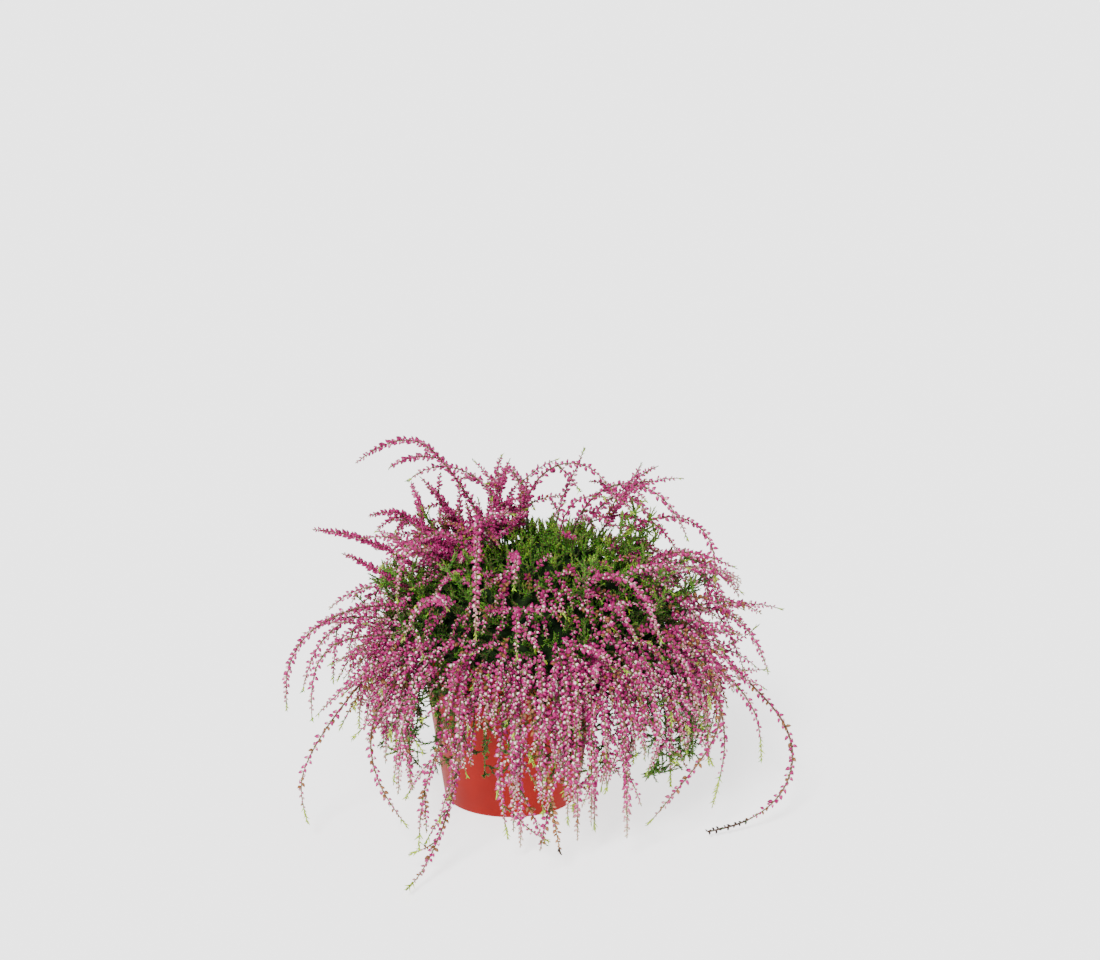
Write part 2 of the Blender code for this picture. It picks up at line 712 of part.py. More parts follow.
def make_crown(material, collection):
    """The woody foot in the soil, flaring into the dome."""
    bm = bmesh.new()
    above_soil = SOIL_MOUND_HEIGHT + CROWN_ABOVE_SOIL
    heights = (CROWN_HOLE_BOTTOM + GAP, above_soil, CORE_UNDERSIDE + CROWN_INTO_DOME)
    radii = (CROWN_RADIUS - CROWN_TAPER, CROWN_RADIUS, CROWN_FLARE)
    rings = []
    for height, radius in zip(heights, radii):
        ring = []
        for corner in range(CROWN_SIDES):
            angle = math.tau * corner / CROWN_SIDES
            ring.append(
                bm.verts.new((radius * math.cos(angle) * MM, radius * math.sin(angle) * MM, height * MM))
            )
        rings.append(ring)
    for first, second in zip(rings, rings[1:]):
        for corner in range(CROWN_SIDES):
            after = (corner + 1) % CROWN_SIDES
            bm.faces.new((first[corner], first[after], second[after], second[corner]))
    bm.faces.new(rings[0])
    bm.faces.new(rings[-1])
    return mesh_object("crown", bm, material, collection)


def sunk_root(point, direction, depth):
    """A root's hidden start, kept inside the dome above the pot's rim."""
    start = point - depth * direction
    start[2] = max(start[2], CORE_UNDERSIDE + SUNK_COVER)
    return start


def make_stub(path, material, collection):
    """The short woody stub that carries a spray, from inside the dome to its flat end face."""
    bm = bmesh.new()
    end = points_at(path, [STUB_RISE])[0]
    forward, side, upper = carried_frames(np.array([end, path[0]]), seam_direction(path))
    start = sunk_root(path[0], outward(path[0]), STUB_SUNK)
    rings = []
    for centre, radius in ((start, STUB_RADIUS), (end, STEM_REACH)):
        ring = []
        for corner in range(STUB_SIDES):
            angle = math.tau * corner / STUB_SIDES
            out = math.cos(angle) * side[0] + math.sin(angle) * upper[0]
            ring.append(bm.verts.new((centre + radius * out) * MM))
        rings.append(ring)
    for corner in range(STUB_SIDES):
        after = (corner + 1) % STUB_SIDES
        bm.faces.new((rings[0][corner], rings[0][after], rings[1][after], rings[1][corner]))
    bm.faces.new(rings[0])
    bm.faces.new(rings[1])
    return mesh_object("stub", bm, material, collection)


def make_shoot(start, direction, length, material, collection):
    """A blunt leafy shoot whose root is sunk in the dome."""
    root = sunk_root(start, direction, SHOOT_SUNK)
    low, high = SHOOT_RINGS
    centres = np.array([root, start + low * length * direction, start + high * length * direction])
    inner = np.array([SHOOT_STEM, SHOOT_STEM, 0.9 * SHOOT_STEM])
    outer = np.array([SHOOT_STEM, SHOOT_RADIUS, 0.8 * SHOOT_RADIUS])
    push = np.array([0.0, SHOOT_FORWARD, SHOOT_FORWARD])
    return mesh_object("shoot", whorled_loft(centres, inner, outer, push), material, collection)


def make_green_stem(path, material, collection):
    path = np.concatenate([[sunk_root(path[0], outward(path[0]), STUB_SUNK)], path[1:]])
    centres = even_points(path, WHORL_STEP)
    outer = np.full(len(centres), GREEN_REACH)
    outer[0] = STUB_RADIUS
    outer[-1] = 0.6 * GREEN_REACH
    inner = np.full(len(centres), STUB_RADIUS)
    push = np.full(len(centres), BUD_FORWARD)
    push[0] = 0.0
    return mesh_object("green_stem", whorled_loft(centres, inner, outer, push), material, collection)


def make_fill(path, material, collection):
    """A raceme of the bush itself, rooted inside the dome."""
    path = np.concatenate([[sunk_root(path[0], outward(path[0]), STUB_SUNK)], path[1:]])
    return mesh_object("raceme", raceme(path, 0.0, FILL_BARE_LENGTH), material, collection)


def shoot_places(draw, blocked):
    """Roots and directions of leafy shoots, spread evenly over the dome and clear of the sprays."""
    places = []
    for index in range(SHOOT_COUNT):
        rise = SHOOT_HIGHEST - (index + 0.5) / SHOOT_COUNT
        across = math.sqrt(1 - rise * rise)
        for attempt in range(SHOOT_TRIES):
            angle = GOLDEN_TURN * index + draw.uniform(-0.16, 0.16)
            lift = rise + draw.uniform(-0.03, 0.03)
            unit = np.array([across * math.cos(angle), across * math.sin(angle), max(0.02, lift)])
            start = np.array(CORE_CENTRE) + np.array(CORE_RADII) * unit / np.linalg.norm(unit)
            lean = np.array([draw.gauss(0, 1), draw.gauss(0, 1), draw.gauss(0.25, 0.8)])
            direction = outward(start) + SHOOT_TILT * lean
            direction /= np.linalg.norm(direction)
            if direction.dot(outward(start)) < SHOOT_UPRIGHT:
                continue
            length = draw.uniform(*SHOOT_LENGTH)
            probe = start + np.linspace(1.0, length + 2.0, 6)[:, None] * direction
            if nearest(probe, blocked) > CLEAR_SHOOTS:
                places.append((start, direction, length))
                break
    return places


def plan_paths():
    """Every path: chosen sprays, back sprays, green stems, side racemes and the bush's racemes."""
    draw = random.Random(SEED)
    names = list(CHOSEN_SPRAYS)
    chosen = [*CHOSEN_SPRAYS.values(), *GREEN_STEMS]
    roots = spread_roots([core_surface(points[0]) for points in chosen])
    moved = push_apart([rooted(root, points) for root, points in zip(roots, chosen)])
    paths = moved[: len(names)]
    greens = moved[len(names) :]
    backs = back_paths(draw, paths + greens)
    names += [f"back_{index + 1}" for index in range(len(backs))]
    paths += backs
    sides = {name: [] for name in names}
    wanted = [*SPRAYS_WITH_SIDES, *names[-len(backs) :] * SIDES_AT_BACK]
    for name in wanted:
        main = paths[names.index(name)]
        others = [path for other, path in zip(names, paths) if other != name] + greens
        others += [side for found in sides.values() for side in found]
        side = side_path(draw, main, np.concatenate(others))
        if side is not None:
            sides[name].append(side)
    grown = [side for found in sides.values() for side in found]
    fills = fill_paths(draw, paths + greens + grown)
    return names, paths, greens, sides, fills


def make_sprays(names, paths, sides, material, collection):
    for index, (name, path) in enumerate(zip(names, paths)):
        node = f"flower_spray_{index + 1:02d}_{name}"
        flower = raceme(path, STUB_RISE + GAP, BARE_LENGTH, seam_direction(path))
        spray = mesh_object(node, flower, material, collection)
        if sides[name]:
            racemes = [raceme(side, 0.0, SIDE_BARE_LENGTH) for side in sides[name]]
            join(spray, [mesh_object("side", bm, material, collection) for bm in racemes])
            largest_body(spray)


def make_bush(paths, greens, sides, fills, material, collection):
    core = make_core(random.Random(SEED + 2), material, collection)
    parts = [make_crown(material, collection)]
    parts += [make_stub(path, material, collection) for path in paths]
    parts += [make_green_stem(path, material, collection) for path in greens]
    parts += [make_fill(path, material, collection) for path in fills]
    hanging = [side for found in sides.values() for side in found]
    blocked = np.concatenate(paths + greens + hanging + fills)
    for start, direction, length in shoot_places(random.Random(SEED + 1), blocked):
        parts.append(make_shoot(start, direction, length, material, collection))
    join(core, parts)
    largest_body(core)


def main():
    for old in list(bpy.data.objects):
        bpy.data.objects.remove(old)
    collection = make_collection("potted_heather")
    cutters = make_collection("potted_heather_cutters")
    cutters.hide_render = True
    terracotta = principled("terracotta_plastic", (0.42, 0.03, 0.012), 0.45)
    peat = principled("peat", (0.035, 0.02, 0.012), 0.95)
    foliage = principled("foliage", (0.07, 0.17, 0.03), 0.6)
    petal = principled("bud_pink", (0.55, 0.07, 0.25), 0.55)
    make_pot(terracotta, collection, cutters)
    make_soil(peat, collection)
    names, paths, greens, sides, fills = plan_paths()
    make_bush(paths, greens, sides, fills, foliage, collection)
    make_sprays(names, paths, sides, petal, collection)


main()
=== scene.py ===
"""The looks of the potted heather: buds, leaves, stems, peat and the moulded pot.

Every flowering stem follows the path that its solid in the CAD model has, worked out by the
same rules, and shorter racemes fill the plant between them. Distances are in millimetres
until a mesh is made, and the scene is in metres.
"""

import json
import math
import random

import bmesh
import bpy
import numpy as np
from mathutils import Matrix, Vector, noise

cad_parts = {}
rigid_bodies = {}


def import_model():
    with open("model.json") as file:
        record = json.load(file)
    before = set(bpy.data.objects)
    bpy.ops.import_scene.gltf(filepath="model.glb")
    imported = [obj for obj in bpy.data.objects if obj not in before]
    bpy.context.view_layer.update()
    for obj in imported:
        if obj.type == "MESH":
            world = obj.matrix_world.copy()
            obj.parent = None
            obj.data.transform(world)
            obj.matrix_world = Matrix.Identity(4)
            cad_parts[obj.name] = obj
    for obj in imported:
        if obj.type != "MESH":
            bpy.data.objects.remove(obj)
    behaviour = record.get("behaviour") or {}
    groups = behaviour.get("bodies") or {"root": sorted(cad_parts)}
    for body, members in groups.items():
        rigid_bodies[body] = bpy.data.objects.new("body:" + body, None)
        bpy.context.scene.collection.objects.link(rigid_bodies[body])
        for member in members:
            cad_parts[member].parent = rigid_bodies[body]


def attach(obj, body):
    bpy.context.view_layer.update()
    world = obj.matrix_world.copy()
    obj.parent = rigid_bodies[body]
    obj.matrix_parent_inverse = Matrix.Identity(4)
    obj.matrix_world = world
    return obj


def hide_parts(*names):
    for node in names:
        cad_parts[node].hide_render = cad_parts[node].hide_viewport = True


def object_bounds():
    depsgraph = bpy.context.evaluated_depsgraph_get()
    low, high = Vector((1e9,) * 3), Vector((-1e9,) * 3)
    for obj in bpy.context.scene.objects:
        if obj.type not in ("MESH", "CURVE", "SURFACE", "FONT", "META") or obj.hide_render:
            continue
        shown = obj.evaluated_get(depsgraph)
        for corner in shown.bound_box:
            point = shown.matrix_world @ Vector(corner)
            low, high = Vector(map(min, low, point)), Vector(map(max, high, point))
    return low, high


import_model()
CAD_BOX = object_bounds()

# Sizes in millimetres, the same as the CAD model's, and the rounding that both of them use
MM = 0.001
FAR_AWAY = 1e9
HAIR = 1e-6
DECIMALS = 6
SEED = 20
GOLDEN_TURN = math.pi * (3 - math.sqrt(5))
POT_HEIGHT = 115.0
POT_TOP_RADIUS = 65.0
POT_FOOT_RADIUS = 47.5
POT_WALL = 1.6
POT_FLOOR = 2.2
RIM_DEPTH = 13.0
RIM_STEP = 1.9
CORE_CENTRE = np.array((20.0, -5.0, 105.0))
CORE_RADII = np.array((98.0, 92.0, 84.0))
CORE_UNDERSIDE = 118.5
POT_CLEAR_RADIUS = 80.0
STUB_RISE = 6.5
ROOT_SPACING = 11.5
ROOT_LOWEST = 0.21
SHOULDER_DROP = 8.0
SHOULDER_REACH = 6.0
BUD_REACH = 4.1
PATH_STEP = 5.0
CLEAR_SPRAYS = 9.7
CLEAR_CORE = 6.8
CLEAR_POT_RADIUS = 70.5
CLEAR_FLOOR = 4.7
CURVE_SHARES = 12
ROOT_ROUNDS = 60
PUSH_ROUNDS = 90
PUSH_SHARE = 0.45
PUSH_MARGIN = 0.3
SOFTENING = 0.06
FLATTEN_BELOW = 28.0
FLATTENING = 0.72
SIDE_SPRAY_LENGTH = (32.0, 50.0)
SIDE_TRIES = 40
SIDE_LEAVES_AT = (0.30, 0.55)
SIDE_AHEAD = 2.0
SIDE_UPWARD = (-0.4, 1.0)
SIDE_FORWARD = 0.75
SIDE_DROOP = 0.07
SIDE_TO_MAIN = 0.8
SIDES_AT_BACK = 2

# Sprays that show in front, as points along each, from the foliage to the tip
CHOSEN_SPRAYS = {
    "crown_left_arch": [(-25, 0, 212), (-50, 0, 248), (-65, 0, 260), (-90, -10, 256), (-105, -15, 245)],
    "crown_left_short": [(-40, -10, 208), (-50, -15, 225), (-60, -20, 236)],
    "left_flat": [(-60, -25, 205), (-76, -30, 217), (-95, -38, 214)],
    "left_hook": [(-62, -48, 196), (-82, -56, 206), (-100, -60, 204)],
    "left_level": [(-84, -8, 182), (-110, -15, 195), (-135, -20, 200)],
    "left_stub_upper": [(-84, -35, 170), (-100, -40, 184), (-112, -46, 190)],
    "crown_arch": [(10, 14, 214), (25, 12, 235), (45, 8, 242), (60, 2, 236), (71, -5, 222)],
    "crown_sprig": [(34, 34, 205), (46, 38, 228), (52, 42, 243)],
    "crown_small_arch": [(36, -26, 212), (50, -34, 229), (66, -44, 228)],
    "crown_upright": [(66, 18, 192), (80, 22, 214), (92, 26, 236)],
    "crown_tuft_mid": [(-8, -16, 212), (-6, -20, 228), (-8, -24, 242)],
    "crown_tuft_right": [(8, -4, 208), (12, -8, 222), (12, -10, 234)],
    "right_high_arch": [(82, -2, 196), (105, -6, 206), (126, -14, 205), (140, -22, 189), (140, -30, 164)],
    "right_low_arch": [(94, -44, 184), (114, -54, 195), (135, -60, 192), (152, -62, 184)],
    "centre_front": [(-20, -40, 214), (-20, -84, 213), (-20, -118, 190), (-20, -136, 158)],
    "left_inner_arc": [(-34, -52, 204), (-56, -72, 210), (-70, -92, 198), (-72, -106, 174)],
    "front_high_right": [(4, -72, 198), (6, -98, 200), (4, -120, 186)],
    "front_mid": [(6, -96, 168), (6, -120, 164), (6, -130, 142)],
    "right_diagonal": [(54, -82, 184), (80, -100, 190), (92, -110, 172), (100, -112, 148)],
    "left_cluster": [(-46, -84, 172), (-60, -108, 170), (-68, -116, 150)],
    "left_long_arch": [
        (-88, -50, 156), (-115, -60, 152), (-138, -66, 138), (-150, -68, 114), (-150, -68, 86),
    ],
    "left_drop": [(-100, -72, 140), (-122, -84, 136), (-131, -88, 112), (-131, -88, 86)],
    "left_diagonal": [(-78, -92, 132), (-105, -105, 118), (-126, -112, 98)],
    "left_long_low": [(-104, -64, 100), (-126, -74, 72), (-142, -80, 40), (-136, -86, 12)],
    "left_inner_low": [(-80, -90, 108), (-92, -102, 84), (-86, -110, 50), (-66, -118, 22)],
    "left_front_drop": [(-58, -104, 118), (-70, -120, 90), (-75, -122, 54)],
    "front_left_drop": [(-42, -112, 88), (-56, -130, 48), (-58, -138, 15)],
    "front_table_touch": [
        (-28, -112, 92), (-34, -132, 58), (-44, -146, 28), (-56, -162, 8), (-64, -180, 6),
    ],
    "front_short": [(-6, -112, 70), (-4, -126, 44), (0, -132, 20)],
    "front_rusty": [(16, -116, 96), (26, -130, 58), (34, -142, 15)],
    "front_right_drop": [(40, -116, 152), (46, -131, 124), (46, -136, 92)],
    "front_right_low": [(56, -108, 118), (66, -124, 84), (60, -130, 52)],
    "right_front_fall": [(72, -106, 148), (90, -118, 122), (100, -124, 90), (90, -120, 60)],
    "right_fall": [(96, -80, 136), (111, -92, 106), (116, -96, 70)],
    "right_fall_outer": [(118, -48, 130), (131, -58, 102), (135, -62, 65)],
    "right_green_drop": [(134, -62, 112), (146, -72, 66), (137, -78, 20)],
    "right_long_diagonal": [(140, -84, 106), (138, -90, 76), (120, -98, 52), (92, -112, 22)],
    "right_sickle": [
        (158, -14, 96), (188, -32, 68), (196, -44, 44), (186, -60, 22), (162, -72, 8), (134, -84, 5.5),
    ],
    "right_small_drop": [(160, -48, 92), (170, -60, 72), (171, -64, 48)],
    "right_tip_up": [(138, -10, 112), (158, -15, 117), (171, -20, 131)],
    "right_tip_level": [(142, -28, 104), (160, -35, 103), (177, -40, 106)],
    "right_shoulder": [(122, 2, 142), (145, -5, 150), (162, -10, 141)],
    "front_pot_left": [(-28, -110, 126), (-32, -130, 96), (-27, -134, 64)],
    "front_pot_mid": [(22, -118, 140), (22, -135, 106), (14, -140, 76)],
    "front_pot_right": [(70, -98, 132), (80, -110, 108), (84, -114, 70)],
    "left_side_level": [(-84, -62, 128), (-102, -74, 130), (-122, -80, 122)],
}
SPRAYS_WITH_SIDES = (
    "crown_left_arch",
    "left_flat",
    "crown_arch",
    "right_high_arch",
    "centre_front",
    "left_inner_arc",
    "front_mid",
    "right_diagonal",
    "left_cluster",
    "left_front_drop",
    "front_right_drop",
    "right_front_fall",
    "front_pot_left",
    "front_pot_mid",
    "front_pot_right",
    "right_fall",
)

# Sprays round the back: turns from the front in degrees, start heights, lengths, lifts and droops
BACK_SPRAYS = 11
BACK_TURNS = (80.0, 285.0)
BACK_HEIGHTS = (185.0, 118.0, 150.0)
BACK_LENGTHS = (112.0, 96.0, 108.0)
BACK_LIFTS = (-0.6, 1.0, 0.5)
BACK_LEAST_ACROSS = 0.05
BACK_TALLEST = 242.0
BACK_TRIES = 60
BACK_TURN_WANDER = 9.0
BACK_HEIGHT_WANDER = 8.0
BACK_LIFT_SHARES = (0.25, 0.7)
BACK_LENGTH_SHARES = (0.85, 1.15)
BACK_DROOPS = (0.11, 0.16)

# Shorter racemes of the bush itself, which grow between the sprays wherever there is room
FILLS = 25
FILL_TRIES = 400
FILL_RISES = (0.22, 0.66)
FILL_LIFTS = (-0.3, 0.5)
FILL_DROOPS = (0.10, 0.20)
FILL_LENGTHS = (52.0, 84.0)

# Green leafy stems that hang below the dome, as points along each
GREEN_STEMS = [
    [(104, -52, 112), (122, -62, 84), (124, -66, 56)],
    [(84, -84, 108), (98, -96, 82), (100, -100, 54)],
    [(112, -20, 112), (128, -26, 86), (130, -30, 60)],
    [(40, -100, 108), (42, -112, 84), (40, -114, 60)],
    [(-58, -80, 108), (-66, -92, 86), (-66, -96, 64)],
    [(-78, -20, 112), (-90, -24, 88), (-92, -26, 66)],
    [(60, 80, 108), (66, 94, 84), (66, 96, 60)],
    [(-30, 78, 108), (-36, 90, 86), (-36, 94, 64)],
]

# Small racemes that only the looks have: they branch from the sprays or hang over the dome
SMALL_CLEAR = 4.4
SMALL_TRIES = 10
NEIGHBOUR_REACH = 70.0
BOX_MARGIN = 3.0
PIECE_LINES = 60

# Their colours: tone grows with height, and the green tips are shorter high up
RED_FROM = 105.0
RED_OVER = 130.0
TONES = (0.08, 0.9)
TONE_SWAY = 0.22
GREEN_ENDS = (0.0, 2.0, 4.0, 8.0, 12.0)
GREEN_TIPS_BELOW = 95.0
HIGH_GREEN_SHARE = 0.4
RUSTINESS = (0.0, 0.0, 0.08, 0.2)

# Those that branch from a spray between two shares of its length, near the dome or before the pot
TWIG_FROM = 0.16
TWIG_TO = 0.8
TWIG_SPACING = 25.0
TWIG_WANDER = 5.0
TWIG_AHEAD = 12.0
TWIG_LENGTH = (20.0, 40.0)
TWIG_FORWARD = 0.9
TWIG_DROOP = (0.05, 0.16)
TWIG_REACH = 36.0
TWIG_FRONT = -95.0
TWIG_FRONT_WIDTH = 80.0
TWIG_HIGH = 150.0
TWIG_STRAY = 34.0

# Those that lie over the dome; a rise is a height as a share of the dome's
DOME_RACEMES = 165
DOME_FRONT = 0.95
DOME_RISES = (0.2, 0.86)
DOME_ROOT = 1.02
DOME_DOWNHILL = 0.5
DOME_SWAY = 0.4
DOME_LENGTH = (20.0, 38.0)
DOME_DROOP = (0.16, 0.34)

# Those that hang as a curtain before the pot, with their turns in degrees
CURTAIN_RACEMES = 150
CURTAIN_TRIES = 14
CURTAIN_TURNS = (-170.0, -2.0)
CURTAIN_TURNS_LONG = (-135.0, -55.0)
CURTAIN_TURNS_BEHIND = (5.0, 175.0)
CURTAIN_RISES = (0.2, 0.42)
CURTAIN_SWAY = 0.25
CURTAIN_LIFT = 0.3
CURTAIN_LENGTH = (45.0, 95.0)
CURTAIN_LONG = (100.0, 150.0)
CURTAIN_SHARE_BEHIND = 0.8
CURTAIN_DROOP = (0.2, 0.42)

# The thick cluster on the crown, with its middle and spread across and along
CROWN_CLUSTER = 46
CROWN_TRIES = 12
CROWN_PLACE = ((-24, 13), (-16, 10))
CROWN_ROOT = 1.04
CROWN_LEAN = (0.0, -0.1, 0.5)
CROWN_SWAY = 0.3
CROWN_LENGTH = (26.0, 46.0)
CROWN_DROOP = (0.03, 0.2)
CROWN_BUD_SHARE = 0.65

# Upright sprays that are thick plumes of several racemes
PLUMES = ("crown_upright", "crown_left_short", "crown_tuft_mid", "left_flat")
PLUME_RACEMES = 9
PLUME_LEAVES_AT = (0.25, 0.75)
PLUME_SWAY = 0.45
PLUME_SHARE = 0.6

# Where the pot shows between the racemes in front of it, as x, z and radius
WINDOWS_BEFORE = -60.0
POT_WINDOWS = (
    (-41.0, 98.0, 8.0),
    (-53.0, 92.0, 8.0),
    (-20.0, 57.0, 12.0),
    (-27.0, 22.0, 12.0),
    (-7.0, 27.0, 10.0),
    (34.0, 24.0, 8.0),
)

# Leafy shoots of the dome and how they fork; a sway is its spread, its upward lean and that one's
# spread, and fresh is 0 for dark leaves to 1 for yellow-green ones
SHOOTS = 1180
SHOOTS_TOP = 0.998
SHOOTS_SPAN = 1.06
SHOOT_LENGTH = (11.0, 19.0)
SHOOT_BASE = 0.90
SHOOT_RAISE = 9.0
SHOOT_TURN = 0.05
SHOOT_SWAY = (0.65, 0.2, 0.45)
SHOOT_RADIUS = 0.36
SHOOT_CURL = 0.12
FORK_COUNTS = (2, 3, 3, 4)
FORK_LENGTHS = (0.45, 0.7)
FORK_AT = (0.2, 0.55)
FORK_SWAY = (0.55, 0.1, 0.5)
FRESH_LEAST = 0.1
FRESH_GAIN = 0.45
FRESH_SPREAD = (-0.12, 0.28)
FRESH_FROM = 105.0
FRESH_OVER = 95.0
BRANCH_STEP = 3.0

# Leafy stems: the green ones, those that hang behind the racemes and those at the sides
GREEN_STEM_FRESH = 0.45
GREEN_SHOOT_STEP = 2.6
GREEN_SHOOT_SWAY = (1.0, -0.5, 0.6)
GREEN_SHOOT_FRESH = 0.3
GREEN_SHOOT_LENGTH = (9.0, 17.0)
HANGING_STEMS = 60
HANGING_BEHIND = 0.2
HANGING_ACROSS = 0.96
HANGING_RISE = 0.14
HANGING_ROOT = 0.97
HANGING_SWAY = 0.3
HANGING_DOWN = 0.9
HANGING_DROOP = 0.3
HANGING_LENGTH = (34.0, 80.0)
HANGING_SHARE_BEHIND = 0.7
HANGING_STEM_FRESH = 0.2
HANGING_SHOOT_STEP = 5.0
HANGING_SHOOT_SWAY = (1.0, -0.6, 0.5)
HANGING_SHOOT_FRESH = (0.05, 0.25)
HANGING_SHOOT_LENGTH = (8.0, 15.0)
SIDE_STEMS = 64
SIDE_STEM_TURN = 0.6
SIDE_STEM_RISES = (0.3, 0.86)
SIDE_STEM_ROOT = 0.96
SIDE_STEM_SWAY = 0.2
SIDE_STEM_LIFT = (0.0, 0.6)
SIDE_STEM_LENGTH = (20.0, 38.0)
SIDE_STEM_DROOP = 0.02
SIDE_STEM_FRESH = 0.45
SIDE_SHOOT_STEP = 6.0
SIDE_SHOOT_SWAY = (0.7, 0.1, 0.5)
SIDE_SHOOT_FRESH = (0.0, 0.15)
SIDE_SHOOT_LENGTH = (8.0, 14.0)

# The woody foot in the peat and its stems
WOODY_STEMS = 26
WOODY_FOOT_RADIUS = 6.0
WOODY_SPREAD = (12.0, 46.0)
WOODY_HEIGHTS = (74.0, 101.0, 112.0, 126.0)
WOODY_RADIUS = 2.2
WOODY_TAPER = 1.0

# The near-black body inside the dome, painted shade for the plant's shaded inside, as shares of the dome's
# size, and the height of its skirt
DEPTH_SWELL = 0.87
DEPTH_TOP_SWELL = 0.06
DEPTH_ROUGHNESS = 0.05
DEPTH_LUMPS = 7.0
DEPTH_SKIRT = 102.0
DEPTH_SKIRT_WIDTH = 10.0

# Buds, as shares of their length and radius from foot to point, and leaves
BUD_LENGTH = 4.2
BUD_RADIUS = 1.32
BUD_PROFILE = ((0.0, 0.0), (0.30, 1.0), (0.66, 0.80), (1.0, 0.0))
BUD_SIDES = 4
BUD_BEND = 0.25
BUD_STEP = 1.3
BUD_LEAN = 0.9
BUD_SIZES = (0.78, 1.12)
BUD_SEED = 5
SMALLEST_BUD = 0.05
SPARSE_GAIN = 1.6
LEAF_LENGTH = 2.8
LEAF_RADIUS = 0.72
LEAF_FLATNESS = 0.62
LEAF_SIDES = 3
LEAF_BEND = -0.35
LEAF_STEP = 0.95
LEAF_LEAN = 0.62
LEAF_SIZES = (0.7, 1.15)
LEAF_SEED = 35
TURN_SWAY = 0.5
LEAN_SWAY = 0.28
SEAT_SHARE = 0.6

# Along a raceme: the bare foot of each kind, and where its buds, leaves and stem change
FINE_STEP = 2.5
SPRAY_BARE = 11.0
FILL_BARE = 9.0
CURTAIN_BARE = 8.0
TWIG_BARE = 3.0
CROWN_BARE = 2.0
BUD_START = 5.0
BUD_TAPER = 20.0
GREEN_START = 2.0
LEAFY_FOOT = 8.0
STEM_TIP = 0.3
STEM_GAIN = 0.45
STEM_TAPER = 90.0
STEM_SIDES = 3
STEM_SWELL = 1.15
DRY_GAIN = 0.35
DRY_BUDS = 0.62

# The pot's roundness and the ring of drain holes in its floor
POT_SIDES = 96
SHARP_ANGLE = 40.0
DRAINS = 6
DRAIN_RADIUS = 4.5
DRAIN_CIRCLE = 31.0
DRAIN_CUT = 12.0
DRAIN_SIDES = 24

# Peat with a dished, uneven top, and the crumbs on it as height, radius and flatness
PEAT_TOP = 101.5
PEAT_DISH = 3.3
PEAT_RADIUS = 59.3
PEAT_RINGS = 14
PEAT_SIDES = 72
PEAT_BELOW = ((60.0, 53.5), (2.6, 45.4), (2.6, 0.0))
PEAT_ROUGHNESS = (-0.7, 0.9)
PEAT_ROUGH_ABOVE = 97.0
PEAT_ROUGH_WITHIN = 58.0
CRUMBS = 420
CRUMBS_WITHIN = 57.0
CRUMBS_FROM = 0.03
CRUMB_LIFT = 0.1
CRUMB_SIDES = 5
CRUMB_SIZES = (0.5, 1.5)
CRUMB_STATIONS = ((0.0, 0.0, 1.0), (0.7, 1.1, 0.8), (1.5, 0.8, 1.0), (2.0, 0.0, 1.0))
FULL_TURN = 6.28

# Camera, placed so that the picture holds the pot where the photograph has it
CAMERA_PLACE = (0.0274, -1.484, 0.599)
CAMERA_TILT = math.radians(76.02)
CAMERA_LENS = 72.7
SENSOR = 36.0

# The room: its floor, the brightness of walls and ceiling, and the key light in degrees
FLOOR_REACH = 60.0
FLOOR_GLOW = 1.9
WALL_GLOW = 1.25
CEILING_GLOW = 0.25
WALL_TO_CEILING = (0.28, 0.55)
KEY_STRENGTH = 5.4
KEY_SOFTNESS = 16.0
KEY_TURNS = (46.0, -20.0, 0.0)

